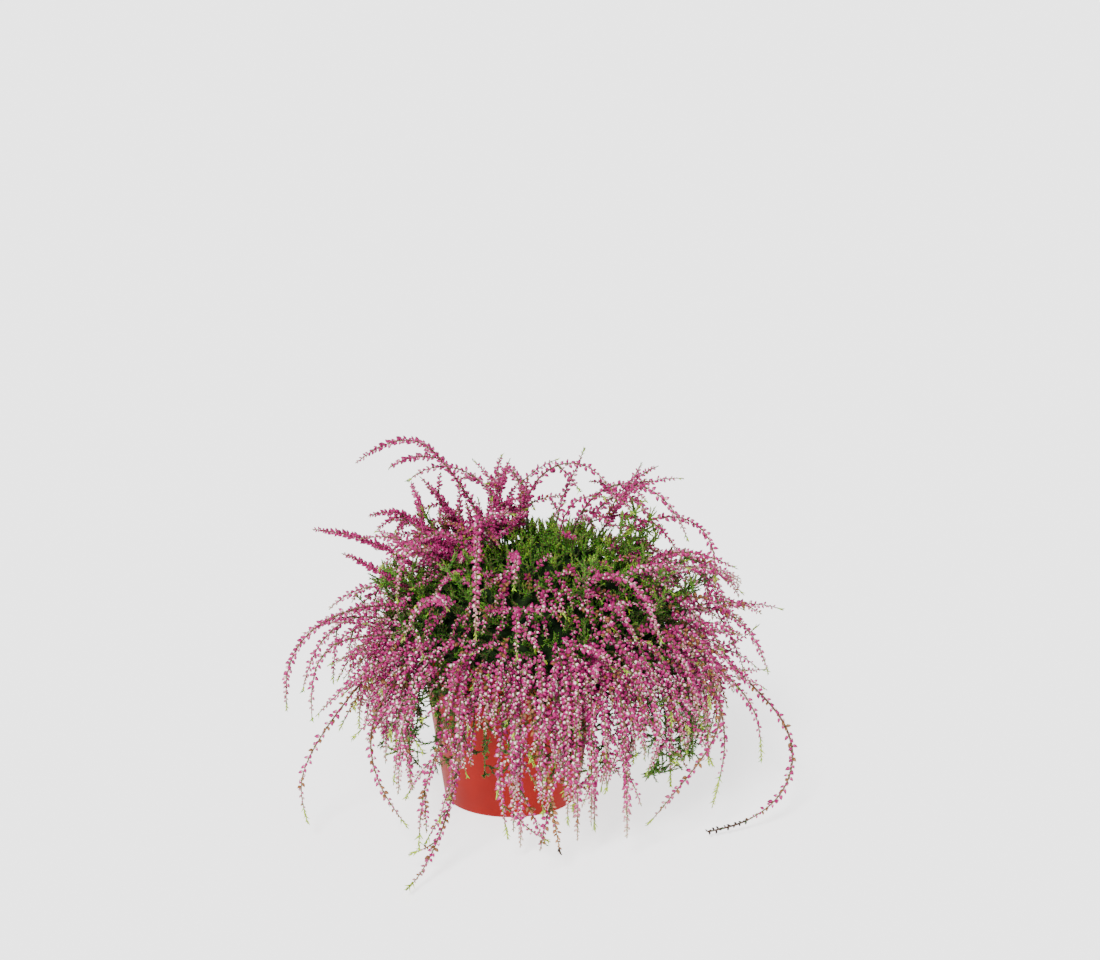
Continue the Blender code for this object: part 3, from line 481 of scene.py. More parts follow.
# How some sprays differ: tone is 0 for pale pink to 1 for crimson, sparse thins the buds,
# rusty turns them brown, green_end is the length of the leafy tip and bare_end of a bare one
PLAIN = {"tone": 0.3, "sparse": 0.0, "rusty": 0.0, "green_end": 6.0, "bare_end": 0.0}
STYLES = {
    "crown_left_arch": {"tone": 0.85, "green_end": 2.0, "sparse": -0.15},
    "crown_left_short": {"tone": 0.9, "green_end": 2.0, "sparse": -0.2},
    "left_flat": {"tone": 0.95, "green_end": 1.0, "sparse": -0.3},
    "left_hook": {"tone": 0.8, "green_end": 2.0},
    "left_level": {"tone": 1.0, "green_end": 1.0, "sparse": -0.3},
    "left_stub_upper": {"tone": 0.95, "green_end": 1.0, "sparse": -0.3},
    "crown_arch": {"tone": 0.7, "sparse": 0.1},
    "crown_sprig": {"tone": 0.7, "sparse": 0.1},
    "crown_small_arch": {"tone": 0.75, "sparse": 0.1},
    "crown_upright": {"tone": 0.9, "green_end": 3.0, "sparse": -0.25},
    "crown_tuft_mid": {"tone": 0.75, "sparse": -0.3, "green_end": 2.0},
    "crown_tuft_right": {"tone": 0.75, "sparse": -0.3, "green_end": 2.0},
    "right_high_arch": {"tone": 0.75, "green_end": 7.0},
    "right_low_arch": {"tone": 0.85, "green_end": 4.0, "sparse": -0.1},
    "centre_front": {"tone": 0.35},
    "left_inner_arc": {"tone": 0.5},
    "left_long_arch": {"tone": 0.6},
    "left_drop": {"tone": 0.5, "sparse": 0.2},
    "left_diagonal": {"tone": 0.55},
    "left_long_low": {"tone": 0.35, "sparse": 0.35, "rusty": 0.25, "green_end": 12.0},
    "left_inner_low": {"tone": 0.3, "sparse": 0.25, "rusty": 0.2, "green_end": 9.0},
    "left_front_drop": {"tone": 0.3, "sparse": 0.1, "green_end": 9.0},
    "front_left_drop": {"tone": 0.1, "sparse": 0.1, "rusty": 0.2, "green_end": 14.0},
    "front_table_touch": {"tone": 0.1, "sparse": 0.1, "rusty": 0.25, "green_end": 12.0},
    "front_short": {"tone": 0.5, "green_end": 12.0},
    "front_rusty": {"tone": 0.1, "rusty": 0.9, "green_end": 0.0, "bare_end": 3.0},
    "right_green_drop": {"tone": 0.2, "sparse": 0.25, "green_end": 24.0},
    "right_long_diagonal": {"tone": 0.4, "sparse": 0.2, "rusty": 0.25, "green_end": 8.0},
    "right_sickle": {"tone": 0.4, "sparse": 0.2, "rusty": 0.25, "green_end": 0.0, "bare_end": 32.0},
    "right_small_drop": {"tone": 0.45, "sparse": 0.1, "green_end": 16.0},
    "right_tip_up": {"tone": 0.55},
    "right_tip_level": {"tone": 0.6},
}


def smooth_curve(chosen, step):
    """Points every step millimetres along a smooth curve through the chosen points."""
    points = np.array(chosen, float)
    ends = [2 * points[0] - points[1], *points, 2 * points[-1] - points[-2]]
    dense = []
    for before, start, end, after in zip(ends[:-3], ends[1:-2], ends[2:-1], ends[3:]):
        for share in np.linspace(0.0, 1.0, CURVE_SHARES, endpoint=False):
            bend = 3 * (start - end) + after - before
            ease = 2 * before - 5 * start + 4 * end - after
            dense.append(start + 0.5 * share * ((end - before) + share * (ease + share * bend)))
    dense.append(points[-1])
    return even_points(np.array(dense), step)


def path_lengths(points):
    """The length along a path at each of its points."""
    return np.concatenate([[0.0], np.cumsum(np.linalg.norm(np.diff(points, axis=0), axis=1))])


def points_at(points, distances):
    """The places at some distances along a path."""
    along = path_lengths(points)
    return np.stack([np.interp(distances, along, points[:, axis]) for axis in range(3)], axis=1)


def even_points(points, step):
    """The path again, in steps that are all about the same."""
    total = path_lengths(points)[-1]
    return points_at(points, np.linspace(0.0, total, max(3, round(total / step) + 1)))


def core_depth(points):
    """How far points lie outside the dome's ellipsoid, negative inside it."""
    offset = (points - CORE_CENTRE) / CORE_RADII
    scale = np.linalg.norm(offset, axis=-1)
    return (scale - 1.0) * np.mean(CORE_RADII)


def core_surface(toward):
    """The dome's surface point in a direction, kept above its lower edge."""
    direction = (np.asarray(toward, float) - CORE_CENTRE) / CORE_RADII
    direction[2] = max(direction[2], ROOT_LOWEST * np.linalg.norm(direction[:2]))
    return CORE_CENTRE + CORE_RADII * direction / np.linalg.norm(direction)


def outward(point):
    """The dome's outward direction at a point near its surface."""
    normal = (np.asarray(point, float) - CORE_CENTRE) / CORE_RADII ** 2
    return normal / np.linalg.norm(normal)


def on_dome(angle, rise, size=1.0):
    """A point over the dome, by its turn and its height as a share of the dome's."""
    across = math.sqrt(max(0.0, 1 - rise * rise))
    unit = np.array([across * math.cos(angle), across * math.sin(angle), rise])
    return CORE_CENTRE + size * CORE_RADII * unit


def spread_roots(roots):
    """Roots moved over the dome until each stub has room."""
    roots = np.array(roots)
    for _ in range(ROOT_ROUNDS):
        between = roots[:, None, :] - roots[None, :, :]
        distance = np.linalg.norm(between, axis=2)
        np.fill_diagonal(distance, FAR_AWAY)
        lack = np.maximum(ROOT_SPACING - distance, 0.0)
        shift = ((0.5 * lack / (distance + HAIR))[:, :, None] * between).sum(axis=1)
        roots = np.array([core_surface(root) for root in np.round(roots + shift, DECIMALS)])
    return roots


def rooted(root, chosen):
    """A path that starts on the dome's surface, leaves it squarely and follows the points."""
    leave = root + STUB_RISE * outward(root)
    start = [root, leave]
    if chosen[0][2] < root[2] - SHOULDER_DROP:
        start.append(root + (STUB_RISE + SHOULDER_REACH) * outward(root))
    keep = [point for point in chosen if np.linalg.norm(np.subtract(point, start[-1])) > STUB_RISE]
    return smooth_curve([*start, *keep], PATH_STEP)


def keep_clear(points):
    """Points moved out of the dome, the pot and the floor."""
    depth = core_depth(points)
    low = depth < CLEAR_CORE
    low[:2] = False
    for index in np.nonzero(low)[0]:
        points[index] += (CLEAR_CORE - depth[index]) * outward(points[index])
    radius = np.linalg.norm(points[:, :2], axis=1)
    near = (radius < CLEAR_POT_RADIUS) & (points[:, 2] < POT_HEIGHT + BUD_REACH + 1.0)
    near[:2] = False
    points[near, :2] *= (CLEAR_POT_RADIUS / radius[near])[:, None]
    points[2:, 2] = np.maximum(points[2:, 2], CLEAR_FLOOR)
    return points


def push_apart(paths):
    """Moves the paths sideways until no two come closer than their buds need."""
    owner = np.concatenate([np.full(len(path), index) for index, path in enumerate(paths)])
    fixed = np.concatenate([np.arange(len(path)) < 2 for path in paths])
    apart = owner[:, None] != owner[None, :]
    for _ in range(PUSH_ROUNDS):
        points = np.concatenate(paths)
        between = points[:, None, :] - points[None, :, :]
        distance = np.linalg.norm(between, axis=2) + HAIR
        lack = np.where(apart, np.maximum(CLEAR_SPRAYS + PUSH_MARGIN - distance, 0.0), 0.0)
        shift = ((PUSH_SHARE * lack / distance)[:, :, None] * between).sum(axis=1)
        shift /= np.maximum(1.0, (lack > 0).sum(axis=1))[:, None]
        shift[fixed] = 0.0
        start = 0
        for index, path in enumerate(paths):
            move = shift[start : start + len(path)].copy()
            start += len(path)
            move[1:-1] = (move[:-2] + 2 * move[1:-1] + move[2:]) / 4
            move[:2] = 0.0
            moved = path + move
            softened = moved.copy()
            beside = 0.5 * (moved[1:-2] + moved[3:])
            softened[2:-1] = (1 - SOFTENING) * moved[2:-1] + SOFTENING * beside
            paths[index] = np.round(keep_clear(softened), DECIMALS)
    return paths


def nearest(points, others):
    """The least distance between two sets of points."""
    if len(others) == 0:
        return FAR_AWAY
    return np.linalg.norm(points[:, None, :] - others[None, :, :], axis=2).min()


def grown_path(start, heading, length, droop):
    """A stem that grows along its heading and sinks under its own weight."""
    direction = np.array(heading, float)
    direction /= np.linalg.norm(direction)
    points = [np.array(start, float)]
    while PATH_STEP * (len(points) - 1) < length:
        direction[2] -= droop
        if points[-1][2] < FLATTEN_BELOW and direction[2] < 0:
            direction[2] *= FLATTENING
        direction /= np.linalg.norm(direction)
        points.append(points[-1] + PATH_STEP * direction)
    return np.array(points)


def back_paths(draw, taken):
    """Sprays round the sides and back, each tried until it is clear of the others."""
    found = []
    for index in range(BACK_SPRAYS):
        share = (index + 0.5) / BACK_SPRAYS
        best = None
        for attempt in range(BACK_TRIES):
            turn = BACK_TURNS[0] + (BACK_TURNS[1] - BACK_TURNS[0]) * share
            turn += draw.uniform(-BACK_TURN_WANDER, BACK_TURN_WANDER)
            angle = math.radians(turn - 90.0)
            height = BACK_HEIGHTS[index % 3] + draw.uniform(-BACK_HEIGHT_WANDER, BACK_HEIGHT_WANDER)
            across = math.sqrt(max(BACK_LEAST_ACROSS, 1 - ((height - CORE_CENTRE[2]) / CORE_RADII[2]) ** 2))
            root = core_surface(
                (
                    CORE_CENTRE[0] + CORE_RADII[0] * across * math.cos(angle),
                    CORE_CENTRE[1] + CORE_RADII[1] * across * math.sin(angle),
                    height,
                )
            )
            lift = draw.uniform(*BACK_LIFT_SHARES) * BACK_LIFTS[index % 3]
            heading = outward(root) + np.array([0.0, 0.0, lift])
            length = BACK_LENGTHS[index % 3] * draw.uniform(*BACK_LENGTH_SHARES)
            path = grown_path(root, outward(root), PATH_STEP, 0.0)
            rest = grown_path(path[-1], heading, length, draw.uniform(*BACK_DROOPS))
            path = keep_clear(np.concatenate([path, rest[1:]]))
            if path[:, 2].max() > BACK_TALLEST:
                continue
            room = nearest(path[1:], np.concatenate(taken + found))
            if best is None or room > best[0]:
                best = (room, path)
            if room > CLEAR_SPRAYS:
                break
        if best is not None and best[0] > CLEAR_SPRAYS:
            found.append(np.round(best[1], DECIMALS))
    return found


def side_path(draw, main, others):
    """A shorter raceme that leaves a spray part way along, or None where there is no room."""
    total = path_lengths(main)[-1]
    for attempt in range(SIDE_TRIES):
        leave = total * draw.uniform(*SIDE_LEAVES_AT)
        start, ahead = points_at(main, [leave, leave + SIDE_AHEAD])
        along = (ahead - start) / np.linalg.norm(ahead - start)
        around = np.array([draw.uniform(-1, 1), draw.uniform(-1, 1), draw.uniform(*SIDE_UPWARD)])
        across = around - along * around.dot(along)
        across /= np.linalg.norm(across)
        length = draw.uniform(*SIDE_SPRAY_LENGTH)
        path = grown_path(start, SIDE_FORWARD * along + across, length, SIDE_DROOP)
        path[3:] = keep_clear(np.concatenate([path[:2], path[3:]]))[2:]
        far = path[3:]
        if far[:, 2].max() > max(BACK_TALLEST, main[:, 2].max()):
            continue
        if nearest(far, others) > CLEAR_SPRAYS and nearest(far, main) > SIDE_TO_MAIN * CLEAR_SPRAYS:
            return np.round(path, DECIMALS)
    return None


def fill_paths(draw, taken):
    """Shorter racemes that grow from the dome between the sprays."""
    found = []
    taken = np.concatenate(taken)
    for index in range(FILL_TRIES):
        angle = GOLDEN_TURN * index
        rise = draw.uniform(*FILL_RISES)
        root = on_dome(angle, rise)
        foot = grown_path(root, outward(root), PATH_STEP, 0.0)
        heading = outward(root) + np.array([0.0, 0.0, draw.uniform(*FILL_LIFTS)])
        rest = grown_path(foot[-1], heading, draw.uniform(*FILL_LENGTHS), draw.uniform(*FILL_DROOPS))
        path = keep_clear(np.concatenate([foot, rest[1:]]))
        if path[:, 2].max() < BACK_TALLEST and nearest(path, taken) > CLEAR_SPRAYS:
            found.append(np.round(path, DECIMALS))
            taken = np.concatenate([taken, path])
        if len(found) == FILLS:
            break
    return found


def plan_paths():
    """Every path: chosen sprays, back sprays, green stems, side racemes and the bush's racemes."""
    draw = random.Random(SEED)
    names = list(CHOSEN_SPRAYS)
    chosen = [*CHOSEN_SPRAYS.values(), *GREEN_STEMS]
    roots = spread_roots([core_surface(points[0]) for points in chosen])
    moved = push_apart([rooted(root, points) for root, points in zip(roots, chosen)])
    paths = moved[: len(names)]
    greens = moved[len(names) :]
    backs = back_paths(draw, paths + greens)
    names += [f"back_{index + 1}" for index in range(len(backs))]
    paths += backs
    sides = {name: [] for name in names}
    wanted = [*SPRAYS_WITH_SIDES, *names[-len(backs) :] * SIDES_AT_BACK]
    for name in wanted:
        main = paths[names.index(name)]
        others = [path for other, path in zip(names, paths) if other != name] + greens
        others += [side for found in sides.values() for side in found]
        side = side_path(draw, main, np.concatenate(others))
        if side is not None:
            sides[name].append(side)
    grown = [side for found in sides.values() for side in found]
    fills = fill_paths(draw, paths + greens + grown)
    return names, paths, greens, sides, fills


def add(tree, kind, inputs=None, **settings):
    """A node with its settings; an input is linked where it is a socket and set otherwise."""
    made = tree.nodes.new(kind)
    for name, value in settings.items():
        setattr(made, name, value)
    for key, value in (inputs or {}).items():
        if isinstance(value, bpy.types.NodeSocket):
            tree.links.new(value, made.inputs[key])
        else:
            made.inputs[key].default_value = value
    return made


def named_float(tree, name):
    inputs = {"Name": name}
    return add(tree, "GeometryNodeInputNamedAttribute", inputs, data_type="FLOAT").outputs[0]


def random_float(tree, low, high, seed):
    inputs = {2: low, 3: high, "Seed": seed}
    return add(tree, "FunctionNodeRandomValue", inputs, data_type="FLOAT").outputs[1]


def maths(tree, operation, first, second=0.0):
    return add(tree, "ShaderNodeMath", {0: first, 1: second}, operation=operation).outputs[0]


def scaled(tree, vector, amount):
    inputs = {0: vector, "Scale": amount}
    return add(tree, "ShaderNodeVectorMath", inputs, operation="SCALE").outputs[0]


def summed(tree, first, second):
    return add(tree, "ShaderNodeVectorMath", {0: first, 1: second}, operation="ADD").outputs[0]


def made_real(tree, geometry):
    return add(tree, "GeometryNodeRealizeInstances", {"Geometry": geometry}).outputs[0]


def coated(tree, geometry, finish):
    inputs = {"Geometry": geometry, "Material": finish}
    return add(tree, "GeometryNodeSetMaterial", inputs).outputs[0]


def ring_mesh(name, stations, corners, lift=0.0):
    """A small closed form along +Z from (height, radius, flatness) stations.

    Its height is kept as rise, from 0 to 1, for the colours. A station with no radius is a point.
    """
    bm = bmesh.new()
    layer = bm.verts.layers.float.new("rise")
    top = max(height for height, _, _ in stations)
    rings = []
    for height, radius, flat in stations:
        ring = []
        count = 1 if radius == 0.0 else corners
        bend = lift * (height / top) ** 2
        for corner in range(count):
            angle = math.tau * corner / corners
            x, y = radius * math.cos(angle), radius * flat * math.sin(angle) + bend
            vert = bm.verts.new((x * MM, y * MM, height * MM))
            vert[layer] = height / top
            ring.append(vert)
        rings.append(ring)
    for first, second in zip(rings, rings[1:]):
        for corner in range(corners):
            after = (corner + 1) % corners
            if len(first) == 1:
                bm.faces.new((first[0], second[after], second[corner]))
            elif len(second) == 1:
                bm.faces.new((first[corner], first[after], second[0]))
            else:
                bm.faces.new((first[corner], first[after], second[after], second[corner]))
    if len(rings[0]) > 1:
        bm.faces.new(rings[0])
    bmesh.ops.recalc_face_normals(bm, faces=bm.faces)
    mesh = bpy.data.meshes.new(name)
    bm.to_mesh(mesh)
    bm.free()
    return bpy.data.objects.new(name, mesh)


def bud_shape():
    """A closed bud, widest near its foot."""
    stations = [(rise * BUD_LENGTH, wide * BUD_RADIUS, 1.0) for rise, wide in BUD_PROFILE]
    return ring_mesh("bud_shape", stations, BUD_SIDES, BUD_BEND)


def leaf_shape():
    """A keeled, three-sided leaf, widest at its foot."""
    stations = [(0.0, LEAF_RADIUS, LEAF_FLATNESS), (LEAF_LENGTH, 0.0, 1.0)]
    return ring_mesh("leaf_shape", stations, LEAF_SIDES, LEAF_BEND)


def group_input(tree, name, kind, value=None):
    """A named input of a tree, with its usual value."""
    socket = tree.interface.new_socket(name=name, in_out="INPUT", socket_type=kind)
    if value is not None:
        socket.default_value = value


def outward_instances(tree, curve, step, shape, lean, selection, size, seed):
    """Instances of a shape along a curve, turned by the golden angle and leaning forward."""
    inputs = {"Curve": curve, "Length": step}
    even = add(tree, "GeometryNodeResampleCurve", inputs, mode="LENGTH").outputs[0]
    points = add(tree, "GeometryNodeCurveToPoints", {"Curve": even}, mode="EVALUATED").outputs
    index = add(tree, "GeometryNodeInputIndex").outputs[0]
    wobble = random_float(tree, -TURN_SWAY, TURN_SWAY, seed)
    turn = maths(tree, "ADD", maths(tree, "MULTIPLY", index, GOLDEN_TURN), wobble)
    inputs = {"Vector": points["Normal"], "Axis": points["Tangent"], "Angle": turn}
    radial = add(tree, "ShaderNodeVectorRotate", inputs, rotation_type="AXIS_ANGLE").outputs[0]
    angle = maths(tree, "ADD", random_float(tree, -LEAN_SWAY, LEAN_SWAY, seed + 1), lean)
    forward = scaled(tree, points["Tangent"], maths(tree, "COSINE", angle))
    direction = summed(tree, forward, scaled(tree, radial, maths(tree, "SINE", angle)))
    depth = maths(tree, "MULTIPLY", named_float(tree, "thick"), SEAT_SHARE)
    inputs = {"Geometry": points["Points"], "Offset": scaled(tree, radial, depth)}
    placed = add(tree, "GeometryNodeSetPosition", inputs).outputs[0]
    flat = add(tree, "FunctionNodeAlignRotationToVector", {"Vector": radial}, axis="Y").outputs[0]
    inputs = {"Rotation": flat, "Vector": direction}
    facing = add(tree, "FunctionNodeAlignRotationToVector", inputs, axis="Z").outputs[0]
    inputs = {"Points": placed, "Selection": selection, "Instance": shape}
    inputs.update({"Rotation": facing, "Scale": size})
    copies = add(tree, "GeometryNodeInstanceOnPoints", inputs).outputs[0]
    inputs = {"Geometry": copies, "Name": "tint", "Value": random_float(tree, 0.0, 1.0, seed + 2)}
    settings = {"data_type": "FLOAT", "domain": "INSTANCE"}
    return add(tree, "GeometryNodeStoreNamedAttribute", inputs, **settings).outputs[0]


def covering(tree, given, curve, kind, selection, size, seed):
    """Buds or leaves along the curve, made real and given their finish."""
    shape = add(tree, "GeometryNodeObjectInfo", {"Object": given[kind]}).outputs["Geometry"]
    step, lean = given[kind + " Step"], given[kind + " Lean"]
    copies = outward_instances(tree, curve, step, shape, lean, selection, size, seed)
    return coated(tree, made_real(tree, copies), given[kind + " Finish"])


def compared(tree, operation, first, second):
    inputs = {0: first, 1: second}
    settings = {"data_type": "FLOAT", "operation": operation}
    return add(tree, "FunctionNodeCompare", inputs, **settings).outputs[0]


def flowering_stem_tree():
    """Geometry Nodes that dress lines with a stem, buds and small leaves.

    The lines carry, at each point, thick (stem radius in metres), full (bud size, 0 for none),
    leafy (share of leaves) and leaf_size, and the colour attributes, which pass through.
    """
    tree = bpy.data.node_groups.new("flowering_stems", "GeometryNodeTree")
    group_input(tree, "Geometry", "NodeSocketGeometry")
    for kind, step, lean in (("Bud", BUD_STEP, BUD_LEAN), ("Leaf", LEAF_STEP, LEAF_LEAN)):
        group_input(tree, kind, "NodeSocketObject")
        group_input(tree, kind + " Step", "NodeSocketFloat", step * MM)
        group_input(tree, kind + " Lean", "NodeSocketFloat", lean)
        group_input(tree, kind + " Finish", "NodeSocketMaterial")
    group_input(tree, "Stem Finish", "NodeSocketMaterial")
    tree.interface.new_socket(name="Geometry", in_out="OUTPUT", socket_type="NodeSocketGeometry")
    given = add(tree, "NodeGroupInput").outputs
    curve = add(tree, "GeometryNodeMeshToCurve", {"Mesh": given["Geometry"]}).outputs[0]

    inputs = {"Resolution": STEM_SIDES, "Radius": STEM_SWELL}
    ring = add(tree, "GeometryNodeCurvePrimitiveCircle", inputs).outputs[0]
    inputs = {"Curve": curve, "Profile Curve": ring, "Scale": named_float(tree, "thick")}
    inputs["Fill Caps"] = True
    stem = add(tree, "GeometryNodeCurveToMesh", inputs).outputs[0]
    stem = coated(tree, stem, given["Stem Finish"])

    full = named_float(tree, "full")
    has_bud = compared(tree, "GREATER_THAN", full, SMALLEST_BUD)
    size = maths(tree, "MULTIPLY", full, random_float(tree, *BUD_SIZES, BUD_SEED - 2))
    buds = covering(tree, given, curve, "Bud", has_bud, size, BUD_SEED)

    chance = random_float(tree, 0.0, 1.0, LEAF_SEED - 4)
    has_leaf = compared(tree, "LESS_THAN", chance, named_float(tree, "leafy"))
    spread = random_float(tree, *LEAF_SIZES, LEAF_SEED - 2)
    size = maths(tree, "MULTIPLY", named_float(tree, "leaf_size"), spread)
    leaves = covering(tree, given, curve, "Leaf", has_leaf, size, LEAF_SEED)

    joined = add(tree, "GeometryNodeJoinGeometry")
    for part in (leaves, buds, stem):
        tree.links.new(part, joined.inputs[0])
    inputs = {"Geometry": made_real(tree, joined.outputs[0]), "Shade Smooth": True}
    smooth = add(tree, "GeometryNodeSetShadeSmooth", inputs)
    add(tree, "NodeGroupOutput", {"Geometry": smooth.outputs[0]})
    return tree


def set_inputs(modifier, values):
    """Sets a modifier's inputs by the identifiers of its tree's sockets."""
    for item in modifier.node_group.interface.items_tree:
        if item.item_type == "SOCKET" and item.in_out == "INPUT" and item.name in values:
            modifier[item.identifier] = values[item.name]


def linked(piece, *materials):
    """The object, put in the scene with its materials."""
    bpy.context.scene.collection.objects.link(piece)
    for material in materials:
        piece.data.materials.append(material)
    return piece


def baked(piece):
    """The object with its modifiers worked into its mesh."""
    bpy.context.view_layer.update()
    graph = bpy.context.evaluated_depsgraph_get()
    mesh = bpy.data.meshes.new_from_object(piece.evaluated_get(graph))
    piece.modifiers.clear()
    piece.data = mesh
    return piece


def grown_from(mesh, name, tree, values):
    """A mesh object made by running a guide mesh through a tree of Geometry Nodes."""
    piece = linked(bpy.data.objects.new(name, mesh))
    modifier = piece.modifiers.new("Growth", "NODES")
    modifier.node_group = tree
    set_inputs(modifier, values)
    return baked(piece)


def dressed(name, lines, tree, values):
    """A piece from a list of (points, attributes) lines, all in millimetres."""
    verts = np.concatenate([points for points, _ in lines]) * MM
    edges = []
    start = 0
    for points, _ in lines:
        edges += [(start + i, start + i + 1) for i in range(len(points) - 1)]
        start += len(points)
    mesh = bpy.data.meshes.new(name + "_lines")
    mesh.from_pydata(verts.tolist(), edges, [])
    for key in lines[0][1]:
        values_along = [np.broadcast_to(given[key], len(points)) for points, given in lines]
        layer = mesh.attributes.new(key, "FLOAT", "POINT")
        layer.data.foreach_set("value", np.concatenate(values_along).astype(np.float32))
    return grown_from(mesh, name, tree, values)


def finished(piece, slot, *nodes):
    """Rides a piece on the plant and hides the CAD nodes that it stands for; its slot, the name of its
    finish, is not used.
    """
    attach(piece, "root")
    if nodes:
        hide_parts(*nodes)


def raceme_line(path, style, bare):
    """A path as a fine line with the sizes of its stem, buds and leaves along it."""
    style = {**PLAIN, **style}
    points = smooth_curve(path, FINE_STEP)
    along = path_lengths(points)
    left = along[-1] - along
    ending = style["green_end"] + style["bare_end"]
    taper = np.clip(0.5 + 0.5 * (left - ending) / BUD_TAPER, 0.0, 1.0) * (left > ending)
    full = np.clip((along - bare) / BUD_START, 0.0, 1.0) * taper
    green = np.clip((ending - left) / GREEN_START, 0.0, 1.0) * (left > style["bare_end"])
    bottom = np.clip(1.0 - (along - bare) / LEAFY_FOOT, 0.0, 1.0)
    dry = (left < style["bare_end"]) * 1.0
    thick = STEM_TIP + STEM_GAIN * np.clip(left / STEM_TAPER, 0.0, 1.0) + DRY_GAIN * dry
    attributes = {
        "thick": thick * MM,
        "full": np.maximum(full, DRY_BUDS * dry),
        "leafy": np.clip(0.2 + 0.8 * np.maximum(green, bottom) + 0.6 * dry, 0.0, 1.0),
        "leaf_size": 0.75 + 0.6 * green,
        "tone": np.full(len(points), style["tone"]),
        "rusty": np.maximum(style["rusty"], dry),
        "fresh": np.clip(0.35 + 0.65 * green, 0.0, 1.0) * (1.0 - dry),
        "tipness": along / along[-1] * (1.0 - 0.9 * dry),
    }
    return points, attributes


def thinned(style):
    """The bud step for a style: sparse sprays have their buds further apart."""
    return BUD_STEP * MM * (1.0 + SPARSE_GAIN * style.get("sparse", 0.0))


def found_clear(path, taken, skip):
    """True if a small raceme keeps clear of the others, the dome, the pot and the floor."""
    far = path[skip:]
    front = far[far[:, 1] < WINDOWS_BEFORE]
    for across, up, size in POT_WINDOWS:
        if (np.hypot(front[:, 0] - across, front[:, 2] - up) < size).any():
            return False
    near = np.abs(taken - path[0]).max(axis=1) < NEIGHBOUR_REACH
    radius = np.linalg.norm(far[:, :2], axis=1)
    in_pot = (radius < CLEAR_POT_RADIUS) & (far[:, 2] < POT_HEIGHT + BUD_REACH)
    if in_pot.any() or far[:, 2].min() < CLEAR_FLOOR + 1 or core_depth(far).min() < 1.0:
        return False
    low, high = np.array(CAD_BOX) / MM
    if (far < low + BOX_MARGIN).any() or (far > high - BOX_MARGIN).any():
        return False
    return nearest(far, taken[near]) > SMALL_CLEAR


class Thicket:
    """The small racemes grown so far, and every point that the next ones keep clear of."""

    def __init__(self, taken):
        self.found = []
        self.taken = np.concatenate(taken)

    def takes(self, path, skip):
        """Adds a path if it keeps clear beyond its first points, and says whether it did."""
        clear = found_clear(path, self.taken, skip)
        if clear:
            self.found.append(path)
            self.taken = np.concatenate([self.taken, path[skip:]])
        return clear


def sideways(draw, spread):
    """A random pair, across and along, to turn a heading with."""
    return [draw.gauss(0, spread), draw.gauss(0, spread)]


def sway(draw, spread, upward=0.0, upward_spread=None):
    """A random direction to add to a heading."""
    upward_spread = spread if upward_spread is None else upward_spread
    return np.array([*sideways(draw, spread), draw.gauss(upward, upward_spread)])


def twig_paths(draw, mains, taken):
    """Short racemes that branch from the sprays where these are near the dome or before the pot."""
    thicket = Thicket(taken)
    for main in mains:
        total = path_lengths(main)[-1]
        for leave in np.arange(TWIG_FROM * total, TWIG_TO * total, TWIG_SPACING):
            for attempt in range(SMALL_TRIES):
                leave_at = leave + draw.uniform(-TWIG_WANDER, TWIG_WANDER)
                start, ahead = points_at(main, [leave_at, leave + TWIG_AHEAD])
                in_front = start[1] < TWIG_FRONT and abs(start[0]) < TWIG_FRONT_WIDTH
                if core_depth(start[None])[0] > TWIG_REACH and not in_front:
                    break
                along = (ahead - start) / np.linalg.norm(ahead - start)
                around = sway(draw, 1, 0.1)
                across = around - along * around.dot(along)
                across /= np.linalg.norm(across)
                length = draw.uniform(*TWIG_LENGTH)
                heading = TWIG_FORWARD * along + across
                path = grown_path(start, heading, length, draw.uniform(*TWIG_DROOP))
                high = path[-1][2] > TWIG_HIGH
                stray = high and core_depth(path[-1:])[0] > TWIG_STRAY
                if not stray and thicket.takes(path, 2):
                    break
    return thicket.found


def dome_paths(draw, taken):
    """Short racemes that lie over the dome's front and sides, leaning down over the shoots."""
    thicket = Thicket(taken)
    for index in range(DOME_RACEMES):
        for attempt in range(SMALL_TRIES):
            anywhere = index % 4 == 0
            angle = draw.uniform(0, math.tau) if anywhere else draw.gauss(-math.pi / 2, DOME_FRONT)
            root = on_dome(angle, draw.uniform(*DOME_RISES), DOME_ROOT)
            away = outward(root)
            flat = np.array([away[0], away[1], 0.0])
            downhill = flat * away[2] - np.array([0.0, 0.0, away[0] ** 2 + away[1] ** 2])
            side = np.array([*sideways(draw, DOME_SWAY), 0.0])
            heading = away + DOME_DOWNHILL * downhill + side
            length = draw.uniform(*DOME_LENGTH)
            if thicket.takes(grown_path(root, heading, length, draw.uniform(*DOME_DROOP)), 1):
                break
    return thicket.found


def curtain_paths(draw, taken):
    """Racemes that leave the dome's lower edge and hang before the pot and beside it."""
    thicket = Thicket(taken)
    for index in range(CURTAIN_RACEMES):
        long_one = index % 3 == 0
        behind = index % 5 == 4 and not long_one
        for attempt in range(CURTAIN_TRIES):
            angle = draw.uniform(*CURTAIN_TURNS)
            if long_one:
                angle = draw.uniform(*CURTAIN_TURNS_LONG)
            if behind:
                angle = draw.uniform(*CURTAIN_TURNS_BEHIND)
            root = on_dome(math.radians(angle), draw.uniform(*CURTAIN_RISES))
            side = sideways(draw, CURTAIN_SWAY)
            heading = outward(root) + np.array([*side, draw.uniform(-CURTAIN_LIFT, CURTAIN_LIFT)])
            length = draw.uniform(*(CURTAIN_LONG if long_one else CURTAIN_LENGTH))
            length *= CURTAIN_SHARE_BEHIND if behind else 1.0
            if thicket.takes(grown_path(root, heading, length, draw.uniform(*CURTAIN_DROOP)), 2):
                break
    return thicket.found


